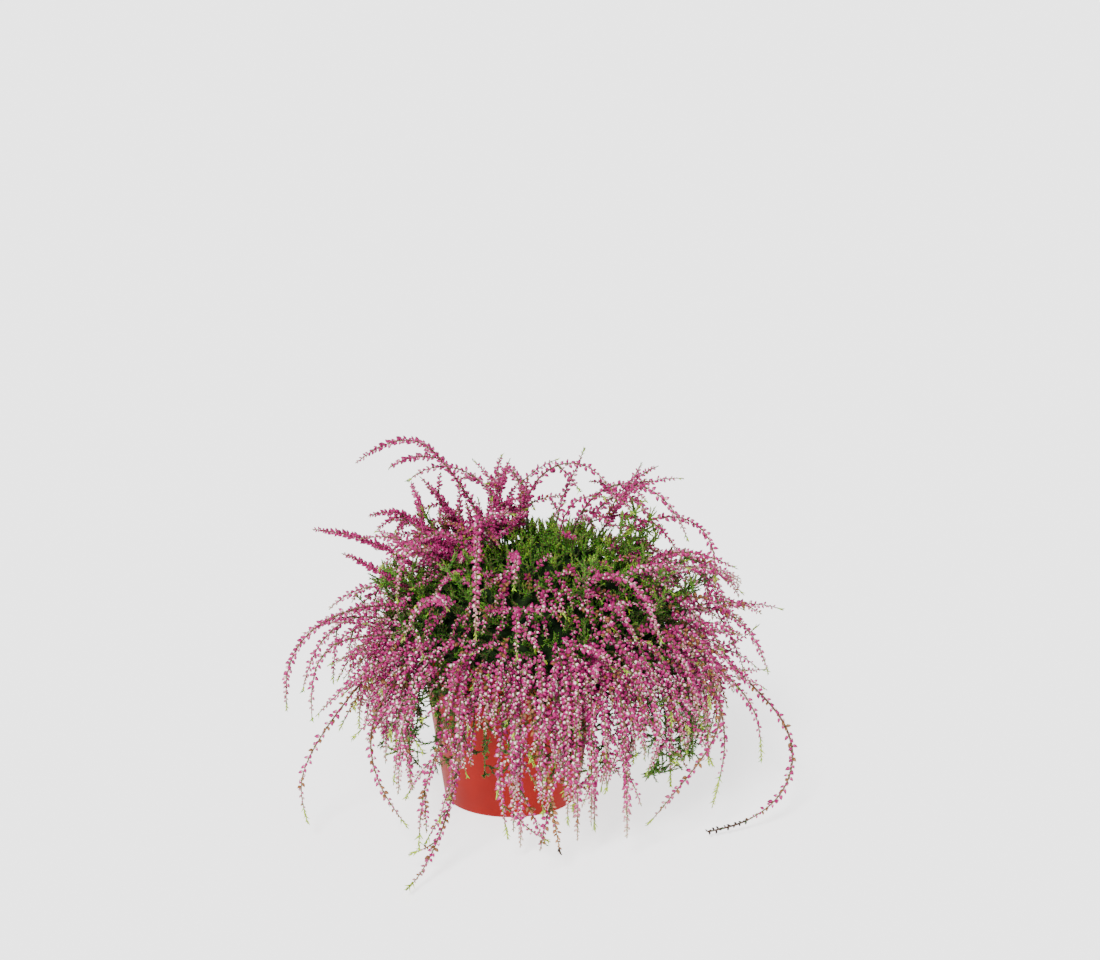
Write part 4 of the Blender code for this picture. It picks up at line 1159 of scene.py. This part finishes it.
def crown_paths(draw, mains, taken):
    """The thick crimson cluster on the crown, left of the middle, and the plumes beside it."""
    thicket = Thicket(taken)
    starts = []
    for index in range(CROWN_CLUSTER):
        place = [draw.gauss(middle, spread) for middle, spread in CROWN_PLACE]
        root = np.array([*place, 0.0])
        flat = (root - CORE_CENTRE)[:2] / CORE_RADII[:2]
        root[2] = CORE_CENTRE[2] + CROWN_ROOT * CORE_RADII[2] * math.sqrt(1 - flat.dot(flat))
        starts.append((root, outward(root) + np.array(CROWN_LEAN), CROWN_SWAY, 1.0))
    for name in PLUMES:
        main = mains[name]
        total = path_lengths(main)[-1]
        for index in range(PLUME_RACEMES):
            start, end = points_at(main, [total * draw.uniform(*PLUME_LEAVES_AT), total])
            along = (end - start) / np.linalg.norm(end - start)
            starts.append((start, along, PLUME_SWAY, PLUME_SHARE))
    for start, heading, spread, share in starts:
        for attempt in range(CROWN_TRIES):
            ahead = heading + sway(draw, spread)
            length = draw.uniform(*CROWN_LENGTH) * share
            if thicket.takes(grown_path(start, ahead, length, draw.uniform(*CROWN_DROOP)), 2):
                break
    return thicket.found


def shoot_lines(draw):
    """Leafy shoots over the dome, each with shorter ones forking from it."""
    lines = []
    for index in range(SHOOTS):
        rise = SHOOTS_TOP - SHOOTS_SPAN * (index + 0.5) / SHOOTS
        angle = GOLDEN_TURN * index + draw.uniform(-SHOOT_TURN, SHOOT_TURN)
        start = on_dome(angle, rise, SHOOT_BASE)
        away = outward(start)
        start = start + draw.uniform(0.0, SHOOT_RAISE) * away
        heading = away + sway(draw, *SHOOT_SWAY)
        lines += forked_shoot(draw, start, heading, draw.uniform(*SHOOT_LENGTH), 0.0)
    return lines


def leafy_branch(path, freshness, spacing, make_shoot):
    """A leafy stem along a path with shoots at even places on it."""
    points = smooth_curve(path, BRANCH_STEP)
    lines = [(points, shoot_attributes(points, freshness))]
    for place in even_points(path, spacing)[1:]:
        lines += make_shoot(place)
    return lines


def green_stem_lines(draw, greens):
    """The hanging green stems with their side shoots."""
    def side_shoot(place):
        heading = sway(draw, *GREEN_SHOOT_SWAY)
        length = draw.uniform(*GREEN_SHOOT_LENGTH)
        return forked_shoot(draw, place, heading, length, GREEN_SHOOT_FRESH)

    lines = []
    for path in greens:
        lines += leafy_branch(path, GREEN_STEM_FRESH, GREEN_SHOOT_STEP, side_shoot)
    return lines


def hanging_lines(draw):
    """Dark leafy stems that hang from the dome's lower edge behind the racemes."""
    def side_shoot(place):
        heading = sway(draw, *HANGING_SHOOT_SWAY)
        length = draw.uniform(*HANGING_SHOOT_LENGTH)
        return forked_shoot(draw, place, heading, length, draw.uniform(*HANGING_SHOOT_FRESH))

    lines = []
    for index in range(HANGING_STEMS):
        angle = GOLDEN_TURN * index
        # Behind the plant, every other stem is left out
        if math.sin(angle) > HANGING_BEHIND and index % 2:
            continue
        flat = [HANGING_ACROSS * math.cos(angle), HANGING_ACROSS * math.sin(angle)]
        unit = np.array([*flat, HANGING_RISE])
        root = CORE_CENTRE + HANGING_ROOT * CORE_RADII * unit
        heading = outward(root) + np.array([*sideways(draw, HANGING_SWAY), -HANGING_DOWN])
        share = HANGING_SHARE_BEHIND if math.sin(angle) > 0.0 else 1.0
        length = draw.uniform(*HANGING_LENGTH) * share
        path = keep_clear(grown_path(root, heading, length, HANGING_DROOP))
        lines += leafy_branch(path, HANGING_STEM_FRESH, HANGING_SHOOT_STEP, side_shoot)
    return lines


def side_lines(draw):
    """Leafy stems that stand out of the dome's left and right sides among the sprays."""
    lines = []
    for index in range(SIDE_STEMS):
        angle = draw.gauss(math.pi if index % 5 < 3 else 0.0, SIDE_STEM_TURN)
        root = on_dome(angle, draw.uniform(*SIDE_STEM_RISES), SIDE_STEM_ROOT)
        side = sideways(draw, SIDE_STEM_SWAY)
        heading = outward(root) + np.array([*side, draw.uniform(*SIDE_STEM_LIFT)])
        path = grown_path(root, heading, draw.uniform(*SIDE_STEM_LENGTH), SIDE_STEM_DROOP)

        def side_shoot(place):
            ahead = heading + sway(draw, *SIDE_SHOOT_SWAY)
            length = draw.uniform(*SIDE_SHOOT_LENGTH)
            return forked_shoot(draw, place, ahead, length, draw.uniform(*SIDE_SHOOT_FRESH))

        lines += leafy_branch(path, SIDE_STEM_FRESH, SIDE_SHOOT_STEP, side_shoot)
    return lines


def forked_shoot(draw, start, heading, length, extra):
    """A leafy shoot and one to three shorter ones that fork from it."""
    heading = heading / np.linalg.norm(heading)
    height = np.clip((start[2] - FRESH_FROM) / FRESH_OVER, 0.0, 1.0)
    fresh = FRESH_LEAST + extra + FRESH_GAIN * height + draw.uniform(*FRESH_SPREAD)
    lines = []
    for turn in range(draw.choice(FORK_COUNTS)):
        side = sway(draw, *FORK_SWAY) if turn else 0.0
        ahead = heading + side
        ahead = ahead / np.linalg.norm(ahead)
        reach = length * (1.0 if turn == 0 else draw.uniform(*FORK_LENGTHS))
        foot = start + (0.0 if turn == 0 else draw.uniform(*FORK_AT)) * length * heading
        share = np.linspace(0.0, 1.0, 3)[:, None]
        curl = np.array([0.0, 0.0, SHOOT_CURL * reach])
        points = foot + share * reach * ahead + share**2 * curl
        lines.append((points, shoot_attributes(points, fresh)))
    return lines


def shoot_attributes(points, fresh):
    """The sizes and colours along a leafy shoot with no buds."""
    tip = np.linspace(0.0, 1.0, len(points))
    none = np.zeros(len(points))
    return {
        "thick": none + SHOOT_RADIUS * MM,
        "full": none,
        "leafy": none + 1.0,
        "leaf_size": 1.0 - 0.3 * tip**3,
        "tone": none,
        "rusty": none,
        "fresh": np.clip(fresh, 0.0, 1.0) * (0.45 + 0.55 * tip),
        "tipness": 0.8 * tip,
    }


def woody_lines(draw):
    """The woody foot and the stems that flare from it into the dome."""
    lines = []
    for index in range(WOODY_STEMS):
        angle = GOLDEN_TURN * index
        turned = np.array([math.cos(angle), math.sin(angle)])
        spread = draw.uniform(*WOODY_SPREAD)
        foot = WOODY_FOOT_RADIUS * math.sqrt((index + 0.5) / WOODY_STEMS)
        radii = (foot, foot, 0.5 * spread, spread)
        points = [(*(radius * turned), up) for radius, up in zip(radii, WOODY_HEIGHTS)]
        path = smooth_curve(points, BRANCH_STEP)
        share = np.linspace(0.0, 1.0, len(path))
        bare = dict.fromkeys(shoot_attributes(path, 0.0), 0.0 * share)
        bare["thick"] = (WOODY_RADIUS - WOODY_TAPER * share) * MM
        bare["tipness"] = 0.35 * share
        lines.append((path, bare))
    return lines


def named_value(tree, name):
    """The value that a mesh carries under this name, in a shader tree."""
    return add(tree, "ShaderNodeAttribute", attribute_name=name).outputs["Fac"]


def colour_ramp(tree, factor, *stops):
    """A smooth change through (position, colour) stops."""
    made = add(tree, "ShaderNodeValToRGB", {"Fac": factor})
    ramp = made.color_ramp
    while len(ramp.elements) < len(stops):
        ramp.elements.new(0.5)
    for element, (position, colour) in zip(ramp.elements, stops):
        element.position = position
        element.color = (*colour, 1.0)
    return made.outputs["Color"]


def mixed(tree, factor, first, second):
    """One colour mixed into another, each a socket or a plain colour."""
    made = tree.nodes.new("ShaderNodeMix")
    made.data_type = "RGBA"
    for index, value in ((0, factor), (6, first), (7, second)):
        if isinstance(value, bpy.types.NodeSocket):
            tree.links.new(value, made.inputs[index])
        else:
            made.inputs[index].default_value = value if index == 0 else (*value, 1.0)
    return made.outputs[2]


def clouds(tree, scale, detail=3.0):
    """Soft noise over the object, from 0 to 1."""
    place = add(tree, "ShaderNodeTexCoord").outputs["Object"]
    inputs = {"Vector": place, "Scale": scale, "Detail": detail}
    return add(tree, "ShaderNodeTexNoise", inputs).outputs["Fac"]


def stretched(tree, value, low, high, new_low=0.0, new_high=1.0):
    """A value from one range carried over to another."""
    inputs = {0: value, 1: low, 2: high, 3: new_low, 4: new_high}
    return add(tree, "ShaderNodeMapRange", inputs, clamp=True).outputs[0]


def bumps(tree, height, strength, distance):
    inputs = {"Height": height, "Strength": strength, "Distance": distance}
    return add(tree, "ShaderNodeBump", inputs).outputs["Normal"]


def new_finish(name):
    """An empty material and its tree of nodes."""
    material = bpy.data.materials.new(name)
    material.use_nodes = True
    return material, material.node_tree


def set_shader(material, values):
    """Links or sets the inputs of a material's shader."""
    tree = material.node_tree
    shader = tree.nodes["Principled BSDF"]
    for key, value in values.items():
        if isinstance(value, bpy.types.NodeSocket):
            tree.links.new(value, shader.inputs[key])
        elif isinstance(value, tuple):
            shader.inputs[key].default_value = (*value, 1.0)
        else:
            shader.inputs[key].default_value = value
    return material


def bud_finish():
    """Closed buds: cream at the foot and magenta at the point, brown where withered."""
    material, tree = new_finish("heather_buds")
    tint = named_value(tree, "tint")
    shift = stretched(tree, tint, 0.0, 1.0, -0.20, 0.26)
    level = maths(tree, "ADD", named_value(tree, "rise"), shift)
    pale = colour_ramp(
        tree,
        level,
        (0.0, (0.70, 0.66, 0.36)),
        (0.16, (0.98, 0.93, 0.85)),
        (0.30, (0.90, 0.55, 0.64)),
        (0.41, (0.45, 0.012, 0.17)),
        (0.85, (0.26, 0.002, 0.09)),
    )
    deep = colour_ramp(
        tree,
        level,
        (0.0, (0.52, 0.14, 0.22)),
        (0.25, (0.46, 0.030, 0.18)),
        (0.60, (0.30, 0.004, 0.10)),
        (1.0, (0.17, 0.002, 0.05)),
    )
    brown = colour_ramp(
        tree, tint, (0.0, (0.16, 0.06, 0.02)), (0.6, (0.38, 0.15, 0.05)), (1.0, (0.55, 0.33, 0.17))
    )
    shift = stretched(tree, tint, 0.0, 1.0, -0.18, 0.18)
    tone = maths(tree, "ADD", named_value(tree, "tone"), shift)
    colour = mixed(tree, stretched(tree, tone, 0.05, 0.95), pale, deep)
    young = stretched(tree, named_value(tree, "tipness"), 0.80, 0.98)
    young = maths(tree, "MULTIPLY", young, stretched(tree, tone, 0.2, 0.8, 0.55, 0.0))
    colour = mixed(tree, young, colour, (0.62, 0.60, 0.36))
    alive = stretched(tree, named_value(tree, "fresh"), 0.05, 0.3)
    brown = mixed(tree, alive, (0.020, 0.010, 0.008), brown)
    withered = maths(tree, "GREATER_THAN", named_value(tree, "rusty"), tint)
    finish = {
        "Base Color": mixed(tree, withered, colour, brown),
        "Roughness": stretched(tree, clouds(tree, 900.0), 0.3, 0.7, 0.42, 0.6),
        "Specular IOR Level": 0.3,
    }
    return set_shader(material, finish)


def leaf_finish():
    """Scale-like leaves, from near-black green in the depth to yellow-green at fresh tips."""
    material, tree = new_finish("heather_leaves")
    shift = stretched(tree, named_value(tree, "tint"), 0.0, 1.0, -0.16, 0.16)
    colour = colour_ramp(
        tree,
        maths(tree, "ADD", named_value(tree, "fresh"), shift),
        (0.0, (0.008, 0.030, 0.004)),
        (0.22, (0.028, 0.130, 0.010)),
        (0.52, (0.095, 0.33, 0.016)),
        (1.0, (0.44, 0.60, 0.035)),
    )
    finish = {
        "Base Color": colour,
        "Roughness": stretched(tree, clouds(tree, 700.0), 0.3, 0.7, 0.45, 0.62),
        "Specular IOR Level": 0.25,
    }
    return set_shader(material, finish)


def stem_finish():
    """Woody stems: brown at the foot and olive to reddish towards the tip."""
    material, tree = new_finish("heather_stems")
    colour = colour_ramp(
        tree,
        named_value(tree, "tipness"),
        (0.0, (0.045, 0.020, 0.010)),
        (0.5, (0.12, 0.055, 0.022)),
        (1.0, (0.17, 0.15, 0.04)),
    )
    grain = clouds(tree, 600.0)
    streaks = stretched(tree, grain, 0.35, 0.75, 0.0, 0.6)
    colour = mixed(tree, streaks, colour, (0.05, 0.025, 0.012))
    normal = bumps(tree, grain, 0.4, 0.0003)
    return set_shader(material, {"Base Color": colour, "Roughness": 0.7, "Normal": normal})


def painted_shade_finish():
    """Painted shade: the near-black colour of the shaded inside of the plant between the shoots."""
    material, tree = new_finish("heather_painted_shade")
    patches = stretched(tree, clouds(tree, 130.0), 0.35, 0.7)
    # Two near-black greens: painted shade for the inside of the bush, which lies in shadow
    colour = mixed(tree, patches, (0.003, 0.008, 0.003), (0.012, 0.028, 0.007))
    return set_shader(material, {"Base Color": colour, "Roughness": 0.95, "Specular IOR Level": 0.1})


def pot_finish():
    """Moulded terracotta-red plastic with a satin surface."""
    material, tree = new_finish("terracotta_plastic_fine")
    soft = clouds(tree, 35.0)
    patches = stretched(tree, soft, 0.3, 0.7)
    finish = {
        "Base Color": mixed(tree, patches, (0.19, 0.0035, 0.001), (0.24, 0.005, 0.0015)),
        "Roughness": stretched(tree, soft, 0.3, 0.7, 0.5, 0.6),
        "Specular IOR Level": 0.12,
        "Normal": bumps(tree, clouds(tree, 1400.0, 2.0), 0.12, 0.0002),
    }
    return set_shader(material, finish)


def peat_finish():
    """Dark damp peat with paler fibres."""
    material, tree = new_finish("peat_fine")
    lumps = clouds(tree, 220.0, 6.0)
    patches = stretched(tree, lumps, 0.35, 0.7)
    finish = {
        "Base Color": mixed(tree, patches, (0.012, 0.007, 0.004), (0.075, 0.042, 0.024)),
        "Roughness": 0.95,
        "Normal": bumps(tree, lumps, 0.8, 0.002),
    }
    return set_shader(material, finish)


def cut_drains(pot):
    """Cuts a ring of drain holes through the pot's floor."""
    cutters = bpy.data.collections.new("drain_cutters")
    bpy.context.scene.collection.children.link(cutters)
    stations = [(0.0, 0.0, 1.0), (0.0, DRAIN_RADIUS, 1.0)]
    stations += [(DRAIN_CUT, DRAIN_RADIUS, 1.0), (DRAIN_CUT, 0.0, 1.0)]
    for index in range(DRAINS):
        turn = math.tau * index / DRAINS
        cutter = ring_mesh("drain_cutter", stations, DRAIN_SIDES)
        x, y = DRAIN_CIRCLE * math.cos(turn), DRAIN_CIRCLE * math.sin(turn)
        cutter.location = (x * MM, y * MM, -0.5 * DRAIN_CUT * MM)
        cutters.objects.link(cutter)
    cut = pot.modifiers.new("Drain", "BOOLEAN")
    cut.operation = "DIFFERENCE"
    cut.operand_type = "COLLECTION"
    cut.collection = cutters
    cut.solver = "MANIFOLD"
    baked(pot)
    for cutter in list(cutters.objects):
        bpy.data.objects.remove(cutter)
    bpy.data.collections.remove(cutters)


def make_pot(finish):
    """The turned pot with a rounded lip, a rim band and drain holes in its floor."""
    rim_bottom = POT_HEIGHT - RIM_DEPTH
    under = POT_TOP_RADIUS - RIM_STEP - 1.0
    inside = POT_TOP_RADIUS - POT_WALL
    profile = [
        (POT_FLOOR, 0.0),
        (POT_FLOOR, POT_FOOT_RADIUS - POT_WALL - 1.0),
        (POT_FLOOR + 1.0, POT_FOOT_RADIUS - POT_WALL),
        (rim_bottom - 1.0, under - POT_WALL),
        (rim_bottom + 2.0, inside - 1.0),
        (POT_HEIGHT - 0.5, inside),
        (POT_HEIGHT, inside + 0.4),
        (POT_HEIGHT, POT_TOP_RADIUS - 0.5),
        (POT_HEIGHT - 0.5, POT_TOP_RADIUS),
        (rim_bottom + 0.5, POT_TOP_RADIUS - 0.9),
        (rim_bottom, POT_TOP_RADIUS - 1.2),
        (rim_bottom - 0.7, under + 0.3),
        (rim_bottom - 1.4, under),
        (2.0, POT_FOOT_RADIUS),
        (0.8, POT_FOOT_RADIUS - 0.5),
        (0.0, POT_FOOT_RADIUS - 1.5),
        (0.0, 0.0),
    ]
    stations = [(height, radius, 1.0) for height, radius in profile]
    pot = linked(ring_mesh("pot_fine", stations, POT_SIDES), finish)
    cut_drains(pot)
    pot.data.shade_smooth()
    pot.data.set_sharp_from_angle(angle=math.radians(SHARP_ANGLE))
    finished(pot, "terracotta_plastic", "pot")


def peat_height(radius):
    """The height of the peat's dished top at a radius."""
    return PEAT_TOP - PEAT_DISH * (radius / PEAT_RADIUS) ** 2


def make_soil(draw, finish):
    """Peat with an uneven top, and crumbs lying on it."""
    stations = [(PEAT_TOP, 0.0, 1.0)]
    for step in range(1, PEAT_RINGS + 1):
        radius = PEAT_RADIUS * step / PEAT_RINGS
        stations.append((peat_height(radius), radius, 1.0))
    stations += [(height, radius, 1.0) for height, radius in PEAT_BELOW]
    soil = linked(ring_mesh("peat_fill", stations, PEAT_SIDES), finish)
    for vert in soil.data.vertices:
        if vert.co.z > PEAT_ROUGH_ABOVE * MM and vert.co.xy.length < PEAT_ROUGH_WITHIN * MM:
            vert.co.z += draw.uniform(*PEAT_ROUGHNESS) * MM
    soil.data.shade_smooth()
    finished(soil, "peat", "soil")
    crumb = ring_mesh("crumb_shape", CRUMB_STATIONS, CRUMB_SIDES)
    places = []
    for index in range(CRUMBS):
        angle = draw.uniform(0, math.tau)
        radius = CRUMBS_WITHIN * math.sqrt(draw.uniform(CRUMBS_FROM, 1.0))
        height = peat_height(radius) + CRUMB_LIFT
        places.append((radius * math.cos(angle) * MM, radius * math.sin(angle) * MM, height * MM))
    finished(scattered("peat_crumbs", places, crumb, finish), "peat")


def scattered(name, places, shape, finish):
    """Copies of a small shape at given places, each turned and sized at random."""
    linked(shape)
    tree = bpy.data.node_groups.new(name + "_scatter", "GeometryNodeTree")
    group_input(tree, "Geometry", "NodeSocketGeometry")
    group_input(tree, "Shape", "NodeSocketObject")
    group_input(tree, "Finish", "NodeSocketMaterial")
    tree.interface.new_socket(name="Geometry", in_out="OUTPUT", socket_type="NodeSocketGeometry")
    given = add(tree, "NodeGroupInput").outputs
    points = add(tree, "GeometryNodeMeshToPoints", {"Mesh": given["Geometry"]}).outputs[0]
    inputs = {1: (FULL_TURN, FULL_TURN, FULL_TURN), "Seed": SEED}
    turn = add(tree, "FunctionNodeRandomValue", inputs, data_type="FLOAT_VECTOR").outputs[0]
    size = random_float(tree, *CRUMB_SIZES, SEED + 1)
    item = add(tree, "GeometryNodeObjectInfo", {"Object": given["Shape"]}).outputs["Geometry"]
    inputs = {"Points": points, "Instance": item, "Rotation": turn, "Scale": size}
    copies = add(tree, "GeometryNodeInstanceOnPoints", inputs).outputs[0]
    whole = coated(tree, made_real(tree, copies), given["Finish"])
    add(tree, "NodeGroupOutput", {"Geometry": whole})
    mesh = bpy.data.meshes.new(name)
    mesh.from_pydata(places, [], [])
    piece = grown_from(mesh, name, tree, {"Shape": shape, "Finish": finish})
    bpy.data.objects.remove(shape)
    return piece


def make_depth(finish):
    """The inner body of the dome, near-black as painted shade, uneven so that no smooth surface shows."""
    bm = bmesh.new()
    bmesh.ops.create_icosphere(bm, subdivisions=5, radius=1.0)
    for vert in bm.verts:
        unit = np.array(vert.co) / vert.co.length
        swell = DEPTH_SWELL + DEPTH_ROUGHNESS * noise.noise(vert.co * DEPTH_LUMPS)
        swell += DEPTH_TOP_SWELL * min(1.0, max(0.0, 2 * unit[2]))
        point = CORE_CENTRE + swell * CORE_RADII * unit
        beyond = (math.hypot(point[0], point[1]) - POT_CLEAR_RADIUS) / DEPTH_SKIRT_WIDTH
        drop = (DEPTH_SKIRT - CORE_UNDERSIDE) * min(1.0, max(0.0, beyond))
        point[2] = max(point[2], CORE_UNDERSIDE + drop)
        vert.co = point * MM
    mesh = bpy.data.meshes.new("foliage_depth")
    bm.to_mesh(mesh)
    bm.free()
    finished(linked(bpy.data.objects.new("foliage_depth", mesh), finish), "foliage")


def dress_between(name, paths, bare, draw, tree, values):
    """Racemes in a few pieces, redder the higher they are."""
    for start in range(0, len(paths), PIECE_LINES):
        lines = []
        for path in paths[start : start + PIECE_LINES]:
            tone = (path[:, 2].mean() - RED_FROM) / RED_OVER + draw.uniform(-TONE_SWAY, TONE_SWAY)
            share = HIGH_GREEN_SHARE if path[-1][2] > GREEN_TIPS_BELOW else 1.0
            style = {
                "tone": min(TONES[1], max(TONES[0], tone)),
                "green_end": share * draw.choice(GREEN_ENDS),
                "rusty": draw.choice(RUSTINESS),
            }
            lines.append(raceme_line(path, style, bare))
        finished(dressed(f"{name}_{start // PIECE_LINES + 1}", lines, tree, values), "buds")


def make_sprays(names, paths, sides, tree, values):
    """Each spray and its side racemes, which stand for the spray's CAD node."""
    for index, (name, path) in enumerate(zip(names, paths)):
        style = STYLES.get(name, {"tone": 0.5} if name.startswith("back") else {})
        lines = [raceme_line(path, style, SPRAY_BARE)]
        lines += [raceme_line(side, style, TWIG_BARE) for side in sides[name]]
        settings = {**values, "Bud Step": thinned(style)}
        piece = dressed(f"buds_{index + 1:02d}_{name}", lines, tree, settings)
        finished(piece, "buds", f"flower_spray_{index + 1:02d}_{name}")


def make_plant():
    """The bush, the sprays on their CAD paths and the racemes between them."""
    names, paths, greens, sides, fills = plan_paths()
    draw = random.Random(SEED + 5)
    bud = linked(bud_shape())
    leaf = linked(leaf_shape())
    tree = flowering_stem_tree()
    values = {
        "Bud": bud,
        "Leaf": leaf,
        "Bud Finish": bud_finish(),
        "Leaf Finish": leaf_finish(),
        "Stem Finish": stem_finish(),
    }
    make_sprays(names, paths, sides, tree, values)
    solid = paths + greens + [side for found in sides.values() for side in found] + fills
    crown = crown_paths(draw, dict(zip(names, paths)), solid)
    curtain = curtain_paths(draw, solid)
    small = twig_paths(draw, paths + fills + curtain, solid + curtain + crown)
    small += dome_paths(draw, solid + curtain + crown + small)
    dress_between("racemes_of_dome", fills, FILL_BARE, draw, tree, values)
    dress_between("racemes_hanging", curtain, CURTAIN_BARE, draw, tree, values)
    dress_between("small_racemes", small, TWIG_BARE, draw, tree, values)
    thick = {**values, "Bud Step": CROWN_BUD_SHARE * BUD_STEP * MM}
    dress_between("crown_racemes", crown, CROWN_BARE, draw, tree, thick)
    shoots = shoot_lines(draw)
    half = len(shoots) // 2
    finished(dressed("foliage_upper", shoots[:half], tree, values), "foliage", "bush")
    finished(dressed("foliage_lower", shoots[half:], tree, values), "foliage")
    finished(dressed("green_stems", green_stem_lines(draw, greens), tree, values), "foliage")
    finished(dressed("hanging_foliage", hanging_lines(draw), tree, values), "foliage")
    finished(dressed("side_foliage", side_lines(draw), tree, values), "foliage")
    finished(dressed("woody_foot", woody_lines(draw), tree, values), "foliage")
    make_depth(painted_shade_finish())
    for shape in (bud, leaf):
        bpy.data.objects.remove(shape)


def make_floor():
    """A pale floor that glows a little, as a lit white sheet does."""
    mesh = bpy.data.meshes.new("floor")
    corners = [(-1, -1), (1, -1), (1, 1), (-1, 1)]
    mesh.from_pydata([(x * FLOOR_REACH, y * FLOOR_REACH, 0.0) for x, y in corners], [], [(0, 1, 2, 3)])
    material, tree = new_finish("pale_floor")
    finish = {
        "Base Color": mixed(tree, clouds(tree, 3.0), (0.83, 0.83, 0.84), (0.86, 0.86, 0.86)),
        "Roughness": 0.75,
        "Specular IOR Level": 0.2,
        "Emission Color": (1.0, 1.0, 1.0),
        "Emission Strength": FLOOR_GLOW,
    }
    linked(bpy.data.objects.new("floor", mesh), set_shader(material, finish))


def make_light():
    """Pale walls under a dimmer ceiling, and a soft key light from the front left."""
    world = bpy.data.worlds.new("white_room")
    world.use_nodes = True
    tree = world.node_tree
    sky = tree.nodes["Background"]
    sky.inputs["Color"].default_value = (1.0, 1.0, 1.0, 1.0)
    toward = add(tree, "ShaderNodeTexCoord").outputs["Generated"]
    height = add(tree, "ShaderNodeSeparateXYZ", {0: toward}).outputs["Z"]
    strength = stretched(tree, height, *WALL_TO_CEILING, WALL_GLOW, CEILING_GLOW)
    tree.links.new(strength, sky.inputs["Strength"])
    bpy.context.scene.world = world

    sun = bpy.data.lights.new("key", "SUN")
    sun.energy = KEY_STRENGTH
    sun.angle = math.radians(KEY_SOFTNESS)
    key = linked(bpy.data.objects.new("key", sun))
    key.rotation_euler = [math.radians(turn) for turn in KEY_TURNS]


def make_camera():
    """The camera, as high and as far off as the photograph's."""
    lens = bpy.data.cameras.new("camera")
    lens.lens = CAMERA_LENS
    lens.sensor_width = SENSOR
    camera = linked(bpy.data.objects.new("camera", lens))
    camera.location = CAMERA_PLACE
    camera.rotation_euler = (CAMERA_TILT, 0.0, 0.0)
    bpy.context.scene.camera = camera


make_plant()
make_pot(pot_finish())
make_soil(random.Random(SEED + 6), peat_finish())
make_floor()
make_light()
make_camera()
bpy.context.view_layer.update()
